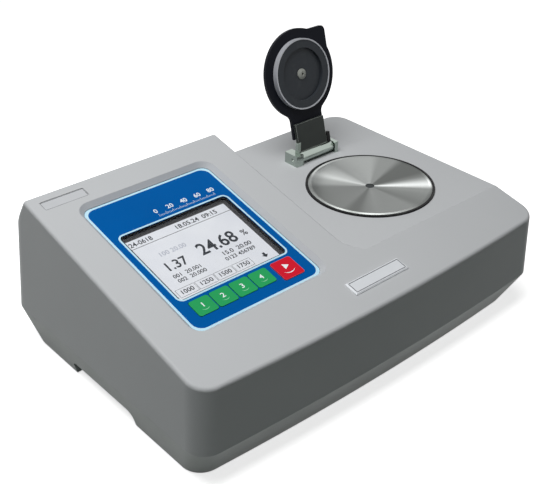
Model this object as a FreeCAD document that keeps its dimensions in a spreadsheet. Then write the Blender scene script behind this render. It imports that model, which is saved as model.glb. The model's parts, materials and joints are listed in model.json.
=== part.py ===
import FreeCAD, Part
import math
import os
import re

import Sketcher

# Bench digital refractometer. X runs along the front, Y to the back, Z up; the origin is on the bench
# under the middle of the housing. A light-grey housing carries a sloping console on the left and a level
# platform on the right, where a steel dish holds the sample over a small prism under a hinged shield.

os.makedirs("parts", exist_ok=True)
doc = FreeCAD.newDocument("refractometer")
sheet = doc.addObject("Spreadsheet::Sheet", "Sizes")

SIZES = {
    # Housing: a waist where it is widest, walls that draw in above it and an undercut base below it.
    "waist_height": "34",
    "front_bow": "5.8",
    "side_draft_share": "0.0414",
    "front_draft_share": "0.027",
    "back_draft_share": "0.1136",
    "corner_radius": "17",
    "wall": "3",
    "edge_round": "3",
    "platform_height": "100",
    "platform_rise": "10.1",
    "front_edge_setback": "7.3",
    "slope_degrees": "12.954",
    "ridge_run": "25.6",
    "console_corner": "24",
    "foot_inset_side": "8.4",
    "foot_inset_front": "16.7",
    "foot_inset_back": "12",
    "recess_back": "49",
    "recess_front": "33",
    "recess_height": "15",
    "recess_depth": "26",
    "recess_round": "6",
    "pad_radius": "9",
    "pad_thickness": "2.5",
    "pad_sink": "1",
    "pad_side": "20",
    "pad_end": "22",
    # Display and keys, laid out along the slope from the front edge of the console.
    "panel_side_margin": "33.4",
    "console_margin": "28.7",
    "panel_front_margin": "42.4",
    "panel_border": "13.05",
    "panel_top_margin": "42.2",
    "panel_corner": "8",
    "panel_depth": "5.2",
    "panel_bevel": "3.8",
    "panel_gap": "0.2",
    "overlay_thickness": "0.8",
    "window_shift": "0.15",
    "window_width": "102.1",
    "window_length": "78.1",
    "window_corner": "4",
    "window_thickness": "1.2",
    "window_gap": "0.15",
    "well_wall": "2.5",
    "well_depth": "2.4",
    "display_margin": "3",
    "display_thickness": "2",
    "backlight_thickness": "4",
    "board_thickness": "1.6",
    "key_row_inset": "2.8",
    "key_row_margin": "15.9",
    "key_window_gap": "4.4",
    "soft_key_count": "4",
    "soft_key_gap": "1.1",
    "soft_key_length": "15.8",
    "start_key_gap": "5",
    "start_key_width": "19.6",
    "start_key_length": "19.7",
    "key_corner": "2",
    "key_proud": "0.5",
    "key_gap": "0.25",
    "key_flange": "1.2",
    "key_flange_thickness": "1",
    "key_rest_gap": "0.3",
    "key_travel": "0.5",
    "dome_radius": "3",
    "dome_height": "1",
    "badge_shift": "4.2",
    "badge_along": "18.1",
    "badge_width": "56.5",
    "badge_length": "13.3",
    "badge_thickness": "1.4",
    "badge_bevel": "0.9",
    "label_shift": "0.6",
    "label_gap": "6.7",
    "label_back_margin": "8.19",
    "label_width": "38.3",
    "label_length": "9.8",
    "label_thickness": "0.5",
    "label_sink": "0.9",
    # Sample stage on the platform.
    "stage_left_margin": "32.8",
    "stage_right_margin": "32.1",
    "stage_front_margin": "15.09",
    "gasket_radius": "56",
    "gasket_width": "1.8",
    "gasket_rise": "1.6",
    "stage_gap": "0.2",
    "stage_rise": "2.2",
    "stage_seat": "1.5",
    "stage_hub_radius": "39.5",
    "stage_hub_depth": "3",
    "stage_rim": "3",
    "stage_rim_step": "0.5",
    "dish_fall": "2.1",
    "prism_radius": "3.8",
    "prism_height": "6",
    "prism_gap": "0.1",
    "prism_drop": "0.4",
    "prism_holder_radius": "12",
    "prism_holder_height": "15",
    # Light shield and its hinge.
    "hinge_rise": "5.5",
    "hinge_from_gasket": "15.3",
    "hinge_depth": "15.9",
    "hinge_block_height": "10.5",
    "hinge_left_ear": "8.3",
    "hinge_right_ear": "3.9",
    "hinge_gap": "0.7",
    "barrel_radius": "5",
    "pin_radius": "1.6",
    "pin_gap": "0.05",
    "pin_sink": "1.2",
    "hinge_strip_height": "4",
    "hinge_screw_radius": "1.2",
    "hinge_screw_height": "1",
    "stop_tab_width": "3.8",
    "stop_tab_depth": "3.2",
    "stop_tab_height": "10.5",
    "stopper_width": "3.4",
    "stopper_height": "14",
    "stopper_depth": "6",
    "stopper_front": "2",
    "stopper_gap": "0.5",
    "lid_lean_degrees": "15",
    "lid_centre_shift": "-1.1",
    "arm_gap": "0.2",
    "arm_width": "33.8",
    "arm_length": "30",
    "arm_thickness": "3",
    "arm_front": "1",
    "lid_lip": "8.7",
    "lid_thickness": "3",
    "lid_neck_lip": "1.4",
    "lid_neck_start": "16.2",
    "lid_tab_inset": "3.6",
    "lid_tab_round": "5",
    "lid_sweep_round": "7",
    "ring_radius": "31.2",
    "ring_wall": "1.2",
    "lid_stage_gap": "0.5",
    "seal_drop": "3.1",
    "seal_step": "6.8",
    "seal_step_height": "2.7",
    "boss_radius": "4.6",
    "boss_height": "1.8",
    "boss_hole_radius": "1.2",
    # Optics, cooling and electronics inside.
    "optics_width": "80",
    "optics_depth": "62",
    "optics_height": "34",
    "lamp_radius": "8",
    "lamp_length": "20",
    "lens_radius": "11",
    "lens_length": "22",
    "sensor_width": "42",
    "sensor_height": "30",
    "thermo_width": "40",
    "thermo_thickness": "4",
    "sink_width": "66",
    "sink_depth": "58",
    "sink_base": "6",
    "sink_fin_height": "22",
    "sink_fin": "1.6",
    "sink_fin_count": "10",
    "pillar_radius": "3",
    "standoff_radius": "3",
    "standoff_height": "10",
    "standoff_inset": "5",
    "board_side_margin": "41.6",
    "board_front_margin": "37.1",
    "board_back_margin": "35.1",
    "board_between": "16",
    "board_to_optics": "47.5",
    "chip_width": "24",
    "chip_height": "2.4",
    "supply_board_width": "120",
    "supply_board_depth": "60",
    "transformer_width": "42",
    "transformer_height": "30",
    "capacitor_radius": "8",
    "capacitor_height": "26",
    # Rear panel and what it carries.
    "rear_panel_setback": "13.1",
    "rear_panel_side_margin": "38.6",
    "rear_panel_lift": "2",
    "rear_panel_drop": "10",
    "rear_panel_thickness": "2",
    "rear_window_margin": "5",
    "inlet_inset": "30",
    "inlet_flange_width": "46",
    "inlet_flange_height": "27",
    "inlet_flange_thickness": "2.5",
    "inlet_body_width": "27.4",
    "inlet_body_height": "20",
    "inlet_body_depth": "24",
    "inlet_cavity_width": "24",
    "inlet_cavity_height": "16.6",
    "inlet_cavity_depth": "16",
    "inlet_pin_length": "10",
    "inlet_pin_width": "2",
    "inlet_pin_height": "4",
    "inlet_pin_spread": "7",
    "inlet_pin_drop": "2",
    "switch_step": "43",
    "switch_width": "15",
    "switch_height": "22",
    "switch_flange": "2",
    "switch_flange_thickness": "2",
    "switch_depth": "16",
    "rocker_width": "10.6",
    "rocker_height": "18",
    "rocker_thickness": "7",
    "rocker_gap": "0.5",
    "rocker_degrees": "8",
    "fuse_step": "30",
    "fuse_radius": "6.5",
    "fuse_knob": "8",
    "fuse_body_radius": "5",
    "fuse_body_depth": "20",
    "serial_step": "34",
    "serial_width": "31",
    "serial_height": "12.6",
    "serial_flange": "1.2",
    "serial_shell_width": "18",
    "serial_shell_height": "9.4",
    "serial_shell_depth": "6",
    "serial_body_depth": "9",
    "printer_step": "46",
    "printer_radius": "7.4",
    "printer_depth": "5",
    "printer_body_depth": "11",
    "fan_width": "40",
    "fan_depth": "15",
    "fan_bore": "18.5",
    "fan_hub": "9",
    "fan_tip_gap": "0.8",
    "fan_blade_count": "7",
    "fan_blade_thickness": "1.2",
    "fan_blade_degrees": "35",
    "fan_spoke": "2.4",
    "guard_ring_count": "3",
    "guard_wire": "0.9",
    "guard_step": "4.6",
    # Fastenings.
    "screw_radius": "1.5",
    "screw_head_radius": "2.9",
    "screw_head_height": "1.8",
    "case_screw_radius": "2",
    "case_screw_head_radius": "3.6",
    "case_screw_head_height": "2.4",
    "case_screw_length": "16",
    "case_screw_side_margin": "23.6",
    "case_screw_front_margin": "31.1",
    "case_screw_back_margin": "33.1",
    "case_post_radius": "6",
    "clearance": "0.3",
    "overrun": "6",
}

# Sizes that follow from the ones above, as formulas of the same sheet. The panel with its keys and the
# stage with its margins set how wide and deep the housing is.
DERIVED = {
    "start_key_room": "start_key_width + start_key_gap - soft_key_gap",
    "soft_key_pitch": "(window_width - 2 * key_row_inset - start_key_room) / soft_key_count",
    "soft_key_width": "soft_key_pitch - soft_key_gap",
    "panel_width": "window_width + 2 * panel_border",
    "panel_length": "key_row_margin + soft_key_length + key_window_gap + window_length + panel_top_margin",
    "panel_floor_width": "panel_width - 2 * panel_bevel",
    "panel_floor_length": "panel_length - 2 * panel_bevel",
    "panel_back_margin": "label_gap + label_length + label_back_margin",
    "slope_sin": "sin(slope_degrees * 1 deg)",
    "slope_cos": "cos(slope_degrees * 1 deg)",
    "slope_share": "slope_sin / slope_cos",
    "slope_stretch": "1 / slope_cos",
    "slope_length": "panel_front_margin + panel_length + panel_back_margin",
    "front_edge_height": "platform_height - platform_rise",
    "body_height": "front_edge_height + slope_length * slope_sin",
    "back_lean": "back_draft_share * (platform_height - waist_height)",
    "body_depth": "front_edge_setback + slope_length * slope_cos + ridge_run + back_lean",
    "waist_front": "body_depth / 2",
    "waist_back": "body_depth / 2",
    "front_edge_front": "waist_front - front_edge_setback",
    "ridge_back": "slope_length * slope_cos - front_edge_front",
    "platform_back": "waist_back - back_lean",
    "console_width": "panel_side_margin + panel_width + console_margin",
    "platform_width": "stage_left_margin + 2 * gasket_radius + stage_right_margin",
    "waist_half_width": "(console_width + platform_width) / 2",
    "console_right": "console_width - waist_half_width",
    "crease_front": "platform_rise / slope_share - front_edge_front",
    "base_bottom": "pad_thickness - pad_sink",
    "floor_top": "base_bottom + wall",
    "panel_across": "waist_half_width - panel_side_margin - panel_width / 2",
    "panel_along": "panel_front_margin + panel_length / 2",
    "panel_floor": "-panel_depth",
    "overlay_top": "panel_floor + overlay_thickness",
    "panel_underside": "panel_floor - wall",
    "window_across": "panel_across + window_shift",
    "soft_key_left": "window_across + window_width / 2 - key_row_inset",
    "soft_key_along": "panel_front_margin + key_row_margin + soft_key_length / 2",
    "window_along": "soft_key_along + soft_key_length / 2 + key_window_gap + window_length / 2",
    "start_key_across": "window_across - window_width / 2 + key_row_inset + start_key_width / 2",
    "start_key_along": "soft_key_along + (soft_key_length - start_key_length) / 2",
    "well_floor": "panel_floor - well_depth - window_thickness",
    "key_top": "overlay_top + key_proud",
    "key_flange_top": "panel_underside - key_rest_gap",
    "key_flange_low": "key_flange_top - key_flange_thickness",
    "key_board_top": "key_flange_low - key_travel - clearance - dome_height",
    "badge_across": "console_right - badge_shift",
    "label_across": "panel_across + panel_width / 2 + label_shift",
    "label_along": "panel_front_margin + panel_length + label_gap + label_length / 2",
    "stage_right": "waist_half_width - stage_right_margin - gasket_radius",
    "stage_front": "-crease_front - stage_front_margin - gasket_radius",
    "hinge_back": "gasket_radius + hinge_from_gasket - stage_front",
    "hinge_height": "platform_height + hinge_rise",
    "hinge_left": "stage_right - arm_width / 2 - arm_gap - hinge_gap - hinge_left_ear",
    "barrel_left": "hinge_left + hinge_left_ear + hinge_gap",
    "barrel_width": "arm_gap + arm_width + stopper_gap + stopper_width",
    "hinge_width": "hinge_left_ear + hinge_gap + barrel_width + hinge_gap + hinge_right_ear",
    "hinge_front": "hinge_back - barrel_radius - hinge_gap",
    "hinge_strip_front": "hinge_back + barrel_radius + 2 * hinge_gap",
    "hinge_strip_depth": "hinge_front + hinge_depth - hinge_strip_front",
    "lid_reach": "gasket_radius + hinge_from_gasket - lid_centre_shift",
    "lid_plate_offset": "arm_thickness - arm_front",
    "lid_radius": "ring_radius + lid_lip",
    "lid_neck_width": "arm_width + 2 * lid_neck_lip",
    "lid_tab_corner": "lid_radius - lid_tab_inset",
    "seat_level": "platform_height - stage_seat",
    "stage_radius": "gasket_radius - gasket_width - stage_gap",
    "stage_top": "platform_height + stage_rise",
    "ring_height": "lid_plate_offset + hinge_height - stage_top - lid_stage_gap",
    "seal_thickness": "ring_height - seal_drop",
    "dish_centre": "stage_top - stage_rim_step - dish_fall",
    "hub_low": "seat_level - stage_hub_depth",
    "prism_top": "dish_centre - prism_drop",
    "prism_low": "prism_top - prism_height",
    "optics_top": "hub_low - prism_holder_height",
    "optics_low": "optics_top - optics_height",
    "optics_beam": "optics_low + optics_height / 2",
    "sink_top": "optics_low - thermo_thickness",
    "board_level": "floor_top + standoff_height",
    "board_left": "waist_half_width - board_side_margin",
    "main_board_start": "board_front_margin - waist_front",
    "main_board_width": "board_left + stage_right - optics_width / 2 - board_to_optics",
    "supply_board_start": "waist_back - board_back_margin - supply_board_depth",
    "main_board_depth": "supply_board_start - board_between - main_board_start",
    "rear_panel_back": "waist_back - rear_panel_setback",
    "rear_panel_width": "2 * (waist_half_width - rear_panel_side_margin)",
    "rear_panel_low": "waist_height + rear_panel_lift",
    "rear_panel_height": "platform_height - rear_panel_drop - rear_panel_low",
    "panel_face": "rear_panel_back",
    "panel_inside": "rear_panel_back - rear_panel_thickness",
    "connector_height": "rear_panel_low + rear_panel_height / 2",
    "inlet_across": "rear_panel_width / 2 - inlet_inset",
    "switch_across": "inlet_across - switch_step",
    "fuse_across": "switch_across - fuse_step",
    "serial_across": "fuse_across - serial_step",
    "printer_across": "printer_step - serial_across",
    "case_screw_side": "waist_half_width - case_screw_side_margin",
    "case_screw_front": "waist_front - case_screw_front_margin",
    "case_screw_back": "waist_back - case_screw_back_margin",
}


def fill_sheet():
    row = 0
    for alias, content in SIZES.items():
        row += 1
        sheet.set(f"A{row}", alias)
        sheet.set(f"B{row}", content)
        sheet.setAlias(f"B{row}", alias)
    for alias, formula in DERIVED.items():
        row += 1
        sheet.set(f"A{row}", alias)
        sheet.set(f"B{row}", "=" + formula)
        sheet.setAlias(f"B{row}", alias)
    doc.recompute()


fill_sheet()
ALIASES = set(SIZES) | set(DERIVED)
VECTOR = FreeCAD.Vector
AXES = {"X": VECTOR(1, 0, 0), "Y": VECTOR(0, 1, 0), "Z": VECTOR(0, 0, 1)}
# Two points this close count as one when an edge is looked for.
NEAR = 1e-4


def bound(text):
    """The expression with each sheet name written in full."""
    return re.sub(r"[a-z_]\w*", lambda m: "Sizes." + m[0] if m[0] in ALIASES else m[0], text)


def number(text):
    """What an expression of sheet names comes to."""
    return float(sheet.evalExpression(bound(text)))


def bind(item, **expressions):
    for prop, text in expressions.items():
        item.setExpression(prop, bound(text))


def place(item, across="0", along="0", up="0"):
    item.setExpression("Placement.Base.x", bound(across))
    item.setExpression("Placement.Base.y", bound(along))
    item.setExpression("Placement.Base.z", bound(up))
    return item


def turn(item, axis, angle):
    item.Placement = FreeCAD.Placement(item.Placement.Base, FreeCAD.Rotation(AXES[axis], 1))
    item.setExpression("Placement.Rotation.Angle", bound(angle))
    return item


def lay(item, across, along, rise):
    """Place on the console slope: across and along it from the front edge, and out from its surface."""
    turn(item, "X", "slope_degrees")
    return place(item, across,
                 f"({along}) * slope_cos - ({rise}) * slope_sin - front_edge_front",
                 f"front_edge_height + ({along}) * slope_sin + ({rise}) * slope_cos")


def box(name, width, depth, height, across, along, up):
    item = doc.addObject("Part::Box", name)
    bind(item, Length=width, Width=depth, Height=height)
    return place(item, across, along, up)


def middle_box(name, width, depth, height, across, along, up):
    """A box given by the middle of its underside."""
    return box(name, width, depth, height, f"{across} - ({width}) / 2", f"{along} - ({depth}) / 2", up)


def rod(name, radius, length, across, along, up, axis="Z"):
    """A cylinder from one end, along the named axis."""
    item = doc.addObject("Part::Cylinder", name)
    bind(item, Radius=radius, Height=length)
    if axis == "X":
        item.Placement = FreeCAD.Placement(VECTOR(), FreeCAD.Rotation(AXES["Y"], 90))
    if axis == "Y":
        item.Placement = FreeCAD.Placement(VECTOR(), FreeCAD.Rotation(AXES["X"], -90))
    return place(item, across, along, up)


def cut(name, base, *tools):
    tool = tools[0] if len(tools) == 1 else fuse(name + "_tools", *tools)
    item = doc.addObject("Part::Cut", name)
    item.Base = base
    item.Tool = tool
    return item


def fuse(name, *pieces):
    item = doc.addObject("Part::MultiFuse", name)
    item.Shapes = list(pieces)
    return item


def common(name, *pieces):
    item = doc.addObject("Part::MultiCommon", name)
    item.Shapes = list(pieces)
    return item


def group(name, *pieces):
    item = doc.addObject("Part::Compound", name)
    item.Links = list(pieces)
    return item


def new_body(name):
    return doc.addObject("PartDesign::Body", name)


def sketch_on(body, name, role, level="0"):
    sketch = body.newObject("Sketcher::SketchObject", name)
    plane = next(item for item in body.Origin.OriginFeatures if item.Role == role)
    sketch.AttachmentSupport = [(plane, "")]
    sketch.MapMode = "FlatFace"
    sketch.setExpression("AttachmentOffset.Base.z", bound(level))
    return sketch


def dimension(sketch, text, *where):
    """A dimensional constraint that follows the sheet."""
    index = sketch.addConstraint(Sketcher.Constraint(*where, number(text)))
    sketch.setExpression(f"Constraints[{index}]", bound(text))


def polygon(sketch, points):
    """A closed outline whose corners are held from the sketch origin."""
    corners = [VECTOR(number(a), number(b), 0) for a, b in points]
    count = len(corners)
    for index in range(count):
        sketch.addGeometry(Part.LineSegment(corners[index], corners[(index + 1) % count]), False)
    for index in range(count):
        sketch.addConstraint(Sketcher.Constraint("Coincident", index, 2, (index + 1) % count, 1))
    for index, (a, b) in enumerate(points):
        dimension(sketch, a, "DistanceX", -1, 1, index, 1)
        dimension(sketch, b, "DistanceY", -1, 1, index, 1)
    return sketch


def pad(body, name, sketch, length):
    item = body.newObject("PartDesign::Pad", name)
    item.Profile = sketch
    bind(item, Length=length)
    sketch.Visibility = False
    body.Tip = item
    return item


def pocket(body, name, sketch, length, both=False, upward=False):
    """Cut by a sketch, and make sure that it did remove something."""
    before = tip_volume(body)
    item = body.newObject("PartDesign::Pocket", name)
    item.Profile = sketch
    item.Reversed = upward
    if both:
        item.Midplane = True
    bind(item, Length=length)
    body.Tip = item
    if not tip_volume(body) < before:
        raise RuntimeError(f"{body.Name}.{name} removed nothing")
    return item


def tip_volume(body):
    doc.recompute()
    return body.Tip.Shape.Volume


def edge_feature(body, name, kind, wanted):
    """A fillet or a chamfer on the wanted edges of a body's latest shape."""
    doc.recompute()
    base = body.Tip
    edges = [f"Edge{index}" for index, edge in enumerate(base.Shape.Edges, 1) if wanted(edge)]
    item = body.newObject("PartDesign::" + kind, name)
    item.Base = (base, edges)
    body.Tip = item
    return item


def round_edges(body, name, radius, wanted):
    return bind(edge_feature(body, name, "Fillet", wanted), Radius=radius)


def bevel_edges(body, name, size, wanted):
    return bind(edge_feature(body, name, "Chamfer", wanted), Size=size)


def upright(edge):
    """A straight edge parallel to the pad direction."""
    first, last = edge.Vertexes[0].Point, edge.Vertexes[-1].Point
    return math.hypot(first.x - last.x, first.y - last.y) < NEAR < abs(first.z - last.z)


def on_top(edge, thickness):
    """An edge of the upper face of a plate as thick as that."""
    return min(vertex.Point.z for vertex in edge.Vertexes) > number(thickness) - NEAR


def at_foot(edge):
    """An edge of the face that a plate stands on."""
    return max(vertex.Point.z for vertex in edge.Vertexes) < NEAR


def rectangle(sketch, width, length):
    """An outline centred on the sketch origin."""
    return polygon(sketch, [(f"-({width}) / 2", f"-({length}) / 2"), (f"({width}) / 2", f"-({length}) / 2"),
                            (f"({width}) / 2", f"({length}) / 2"), (f"-({width}) / 2", f"({length}) / 2")])


def plate(name, width, length, thickness, corner=None):
    """A flat plate centred on its own origin, with rounded corners if asked."""
    body = new_body(name)
    pad(body, name + "_pad", rectangle(sketch_on(body, name + "_outline", "XY_Plane"), width, length),
        thickness)
    if corner:
        round_edges(body, name + "_corners", corner, upright)
    return body


def turned(name, points):
    """A turned piece: radius and height of each corner of its half section."""
    body = new_body(name)
    sketch = polygon(sketch_on(body, name + "_section", "XZ_Plane"), points)
    item = body.newObject("PartDesign::Revolution", name + "_turn")
    item.Profile = sketch
    item.ReferenceAxis = (sketch, ["V_Axis"])
    item.Angle = 360
    body.Tip = item
    return body


def plan_outline(body, name, level, half, front, back, bow, corner):
    """Plan outline at one level: straight sides and back, bowed front, four rounded corners."""
    sketch = sketch_on(body, name, "XY_Plane", level)
    sweep = f"((({half}) * ({half}) + ({bow}) * ({bow})) / (2 * ({bow})))"
    w, f, b, r, big = number(half), number(front), number(back), number(corner), number(sweep)
    centre = f + big
    side = centre - math.sqrt((big - r) ** 2 - (w - r) ** 2)
    lean = math.atan2(centre - side, w - r)

    def arc(x, y, radius, start, end):
        circle = Part.Circle(VECTOR(x, y, 0), AXES["Z"], radius)
        return Part.ArcOfCircle(circle, start, end)

    def line(x1, y1, x2, y2):
        return Part.LineSegment(VECTOR(x1, y1, 0), VECTOR(x2, y2, 0))

    quarter = math.pi / 2
    for piece in (
        line(w, side, w, b - r),
        arc(w - r, b - r, r, 0, quarter),
        line(w - r, b, r - w, b),
        arc(r - w, b - r, r, quarter, 2 * quarter),
        line(-w, b - r, -w, side),
        arc(r - w, side, r, 2 * quarter, 2 * quarter + lean),
        arc(0, centre, big, 2 * quarter + lean, 4 * quarter - lean),
        arc(w - r, side, r, 4 * quarter - lean, 4 * quarter),
    ):
        sketch.addGeometry(piece, False)
    for index in range(8):
        sketch.addConstraint(Sketcher.Constraint("Tangent", index, 2, (index + 1) % 8, 1))
    sketch.addConstraint(Sketcher.Constraint("Vertical", 0))
    sketch.addConstraint(Sketcher.Constraint("Vertical", 4))
    sketch.addConstraint(Sketcher.Constraint("Horizontal", 2))
    sketch.addConstraint(Sketcher.Constraint("PointOnObject", 6, 3, -2))
    for index in (1, 3, 5, 7):
        dimension(sketch, corner, "Radius", index)
    dimension(sketch, sweep, "Radius", 6)
    dimension(sketch, f"{front} + {sweep}", "DistanceY", -1, 1, 6, 3)
    dimension(sketch, half, "DistanceX", -1, 1, 0, 1)
    dimension(sketch, f"-({half})", "DistanceX", -1, 1, 4, 1)
    dimension(sketch, back, "DistanceY", -1, 1, 2, 1)
    return sketch


def loft(body, name, lower, upper):
    item = body.newObject("PartDesign::AdditiveLoft", name)
    item.Profile = lower
    item.Sections = [upper]
    item.Ruled = True
    body.Tip = item
    return item


def upper_shape(name, inset):
    """The housing above its waist: drafted block, sloped top, slanted back and the level platform."""
    body = new_body(name)
    rise = "(body_height - waist_height)"
    low = plan_outline(body, name + "_waist", "waist_height", f"waist_half_width - {inset}",
                       f"{inset} - waist_front", f"waist_back - {inset}", "front_bow",
                       f"corner_radius - {inset}")
    high = plan_outline(body, name + "_crown", "body_height",
                        f"waist_half_width - {inset} - side_draft_share * {rise}",
                        f"{inset} - waist_front + front_draft_share * {rise}",
                        f"waist_back - {inset} - back_draft_share * {rise}", "front_bow",
                        f"corner_radius - {inset}")
    loft(body, name + "_block", low, high)
    drop = f"({inset} * slope_stretch)"
    reach = "(waist_back + overrun)"
    slant = "((platform_back - ridge_back) / (body_height - platform_height))"
    shift = f"({inset} * sqrt(1 + {slant} * {slant}) / {slant})"
    front_low = f"front_edge_height - {drop} - slope_share * ({reach} - front_edge_front)"
    back_low = f"body_height - {shift} - ({reach} - ridge_back) / {slant}"
    meet = f"(({drop} - {shift}) / (slope_share + 1 / {slant}))"
    above = polygon(sketch_on(body, name + "_above", "YZ_Plane"), [
        (f"-{reach}", front_low),
        (f"ridge_back + {meet}", f"body_height - {drop} + slope_share * {meet}"),
        (reach, back_low),
        (reach, "body_height + overrun"),
        (f"-{reach}", "body_height + overrun")])
    pocket(body, name + "_slope", above, "waist_half_width * 2 + overrun", both=True)
    pocket(body, name + "_platform", platform_outline(body, name + "_level", inset),
           "body_height + overrun - platform_height", upward=True)
    return body


def platform_outline(body, name, inset):
    """What the platform takes away, from the console wall to beyond the right side."""
    sketch = sketch_on(body, name, "XY_Plane", f"platform_height - {inset}")
    left = f"console_right - {inset}"
    front = f"crease_front + ({inset} * slope_stretch - {inset}) / slope_share"
    right, back = "waist_half_width + overrun", "waist_back + overrun"
    a, b, c, d, r = number(left), number(front), number(right), number(back), number("console_corner")
    sketch.addGeometry(Part.LineSegment(VECTOR(a, d, 0), VECTOR(a, b + r, 0)), False)
    corner = Part.Circle(VECTOR(a + r, b + r, 0), AXES["Z"], r)
    sketch.addGeometry(Part.ArcOfCircle(corner, math.pi, 1.5 * math.pi), False)
    sketch.addGeometry(Part.LineSegment(VECTOR(a + r, b, 0), VECTOR(c, b, 0)), False)
    sketch.addGeometry(Part.LineSegment(VECTOR(c, b, 0), VECTOR(c, d, 0)), False)
    sketch.addGeometry(Part.LineSegment(VECTOR(c, d, 0), VECTOR(a, d, 0)), False)
    for index in range(5):
        kind = "Tangent" if index < 2 else "Coincident"
        sketch.addConstraint(Sketcher.Constraint(kind, index, 2, (index + 1) % 5, 1))
    for index in (0, 3):
        sketch.addConstraint(Sketcher.Constraint("Vertical", index))
    for index in (2, 4):
        sketch.addConstraint(Sketcher.Constraint("Horizontal", index))
    dimension(sketch, left, "DistanceX", -1, 1, 0, 1)
    dimension(sketch, front, "DistanceY", -1, 1, 2, 1)
    dimension(sketch, right, "DistanceX", -1, 1, 3, 1)
    dimension(sketch, back, "DistanceY", -1, 1, 4, 1)
    dimension(sketch, "console_corner", "Radius", 1)
    return sketch


def crown_edge(edge):
    """An edge of the sloped top, the platform or the slanted back, but not the crease between them."""
    first, last = edge.FirstParameter, edge.LastParameter
    points = [edge.valueAt(parameter) for parameter in (first, (first + last) / 2, last)]
    if min(point.z for point in points) < number("front_edge_height - edge_round") or upright(edge):
        return False
    on_crease = all(abs(point.y - number("crease_front")) < NEAR for point in points)
    level = all(abs(point.z - number("platform_height")) < NEAR for point in points)
    at_console = min(point.x for point in points) < number("console_right + console_corner") + NEAR
    return not (on_crease or level and at_console)


def console_tool(name, width, length, thickness, corner, across, along, low):
    """A rounded plate lying parallel to the console slope, its underside at the given depth."""
    return lay(plate(name, width, length, thickness, corner), across, along, low)


def panel_recess():
    """The recess of the panel: upright walls from its floor, and a bevel that opens out to the slope."""
    mouth = plate("panel_mouth", "panel_width", "panel_length", "panel_bevel + overrun",
                  "panel_corner + panel_bevel")
    bevel_edges(mouth, "panel_mouth_bevel", "panel_bevel", at_foot)
    pit = console_tool("panel_pit", "panel_floor_width", "panel_floor_length", "panel_depth", "panel_corner",
                       "-panel_across", "panel_along", "panel_floor")
    return [pit, lay(mouth, "-panel_across", "panel_along", "-panel_bevel")]


def ring(name, outer, inner, low, high):
    """A plain turned ring."""
    return turned(name, [(inner, low), (outer, low), (outer, high), (inner, high)])


SOFT_KEY_PLACES = [f"soft_key_width / 2 + {index} * soft_key_pitch - soft_key_left"
                   for index in range(int(number("soft_key_count")))]
KEYS = [(f"soft_key_{index + 1}", "soft_key_width", "soft_key_length", across, "soft_key_along")
        for index, across in enumerate(SOFT_KEY_PLACES)]
KEYS.append(("start_key", "start_key_width", "start_key_length", "-start_key_across", "start_key_along"))
CASE_SCREWS = [(f"{sx}case_screw_side", y)
               for sx in ("-", "") for y in ("-case_screw_front", "case_screw_back")]
parts = []


def keep(item, label):
    """Name a finished sub-part; the label is its file name."""
    item.Label = label
    parts.append(item)
    return item


# Top cover: the upper shape less its inside, with tubs and seats for what it carries.
def top_cover():
    shell = upper_shape("cover_outside", "0")
    round_edges(shell, "crown_round", "edge_round", crown_edge)
    tub = console_tool("panel_tub", "panel_width + 2 * wall", "panel_length + 2 * wall",
                       "panel_depth + wall + overrun", "panel_corner + panel_bevel + wall",
                       "-panel_across", "panel_along", "panel_underside")
    rear_pad = middle_box("rear_pad", "rear_panel_width + 2 * rear_window_margin", "rear_panel_setback",
                          "rear_panel_height + 2 * rear_window_margin", "0",
                          "rear_panel_back + rear_panel_setback / 2", "rear_panel_low - rear_window_margin")
    posts = [rod(f"cover_post_{index}", "case_post_radius", "body_height - waist_height", x, y,
                 "waist_height")
             for index, (x, y) in enumerate(CASE_SCREWS)]
    hollow = cut("cover_hollow", upper_shape("cover_inside", "wall"), tub, rear_pad, *posts)
    tools = [
        hollow,
        *panel_recess(),
        console_tool("well_hole", "window_width + 2 * well_wall", "window_length + 2 * well_wall",
                     "wall + overrun", "window_corner", "-window_across", "window_along",
                     "panel_underside - overrun"),
        console_tool("label_recess", "label_width + clearance", "label_length + clearance",
                     "label_sink + overrun", "edge_round / 2", "-label_across", "label_along", "-label_sink"),
        rod("stage_seat_tool", "gasket_radius + stage_gap", "stage_seat + overrun",
            "stage_right", "-stage_front", "seat_level"),
        rod("stage_bore", "stage_hub_radius + clearance", "stage_seat + wall + overrun",
            "stage_right", "-stage_front", "seat_level - wall"),
        middle_box("rear_window", "rear_panel_width - 2 * rear_window_margin", "rear_panel_setback + overrun",
                   "rear_panel_height - 2 * rear_window_margin", "0",
                   "rear_panel_back + (rear_panel_setback + overrun) / 2",
                   "rear_panel_low + rear_window_margin"),
    ]
    for name, width, length, across, along in KEYS:
        tools.append(console_tool(f"{name}_hole", f"{width} + 2 * key_gap", f"{length} + 2 * key_gap",
                                  "wall + overrun", "key_corner", across, along,
                                  "panel_underside - overrun / 2"))
    for index, (x, y) in enumerate(CASE_SCREWS):
        tools.append(rod(f"cover_pilot_{index}", "case_screw_radius", "case_screw_length", x, y,
                         "waist_height - overrun / 2"))
    keep(cut("top_cover", shell, *tools), "top_cover")


# Base tray: an undercut dish under the waist, with a hand recess each side and four screw pillars.
def base_shape(name, inset):
    body = new_body(name)
    corner = f"corner_radius - {inset}"
    low = plan_outline(body, name + "_floor", "base_bottom" if inset == "0" else "floor_top",
                       f"waist_half_width - foot_inset_side - {inset}",
                       f"foot_inset_front + {inset} - waist_front",
                       f"waist_back - foot_inset_back - {inset}", "front_bow", corner)
    high = plan_outline(body, name + "_waist", "waist_height", f"waist_half_width - {inset}",
                        f"{inset} - waist_front", f"waist_back - {inset}", "front_bow", corner)
    loft(body, name + "_block", low, high)
    return body


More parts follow.
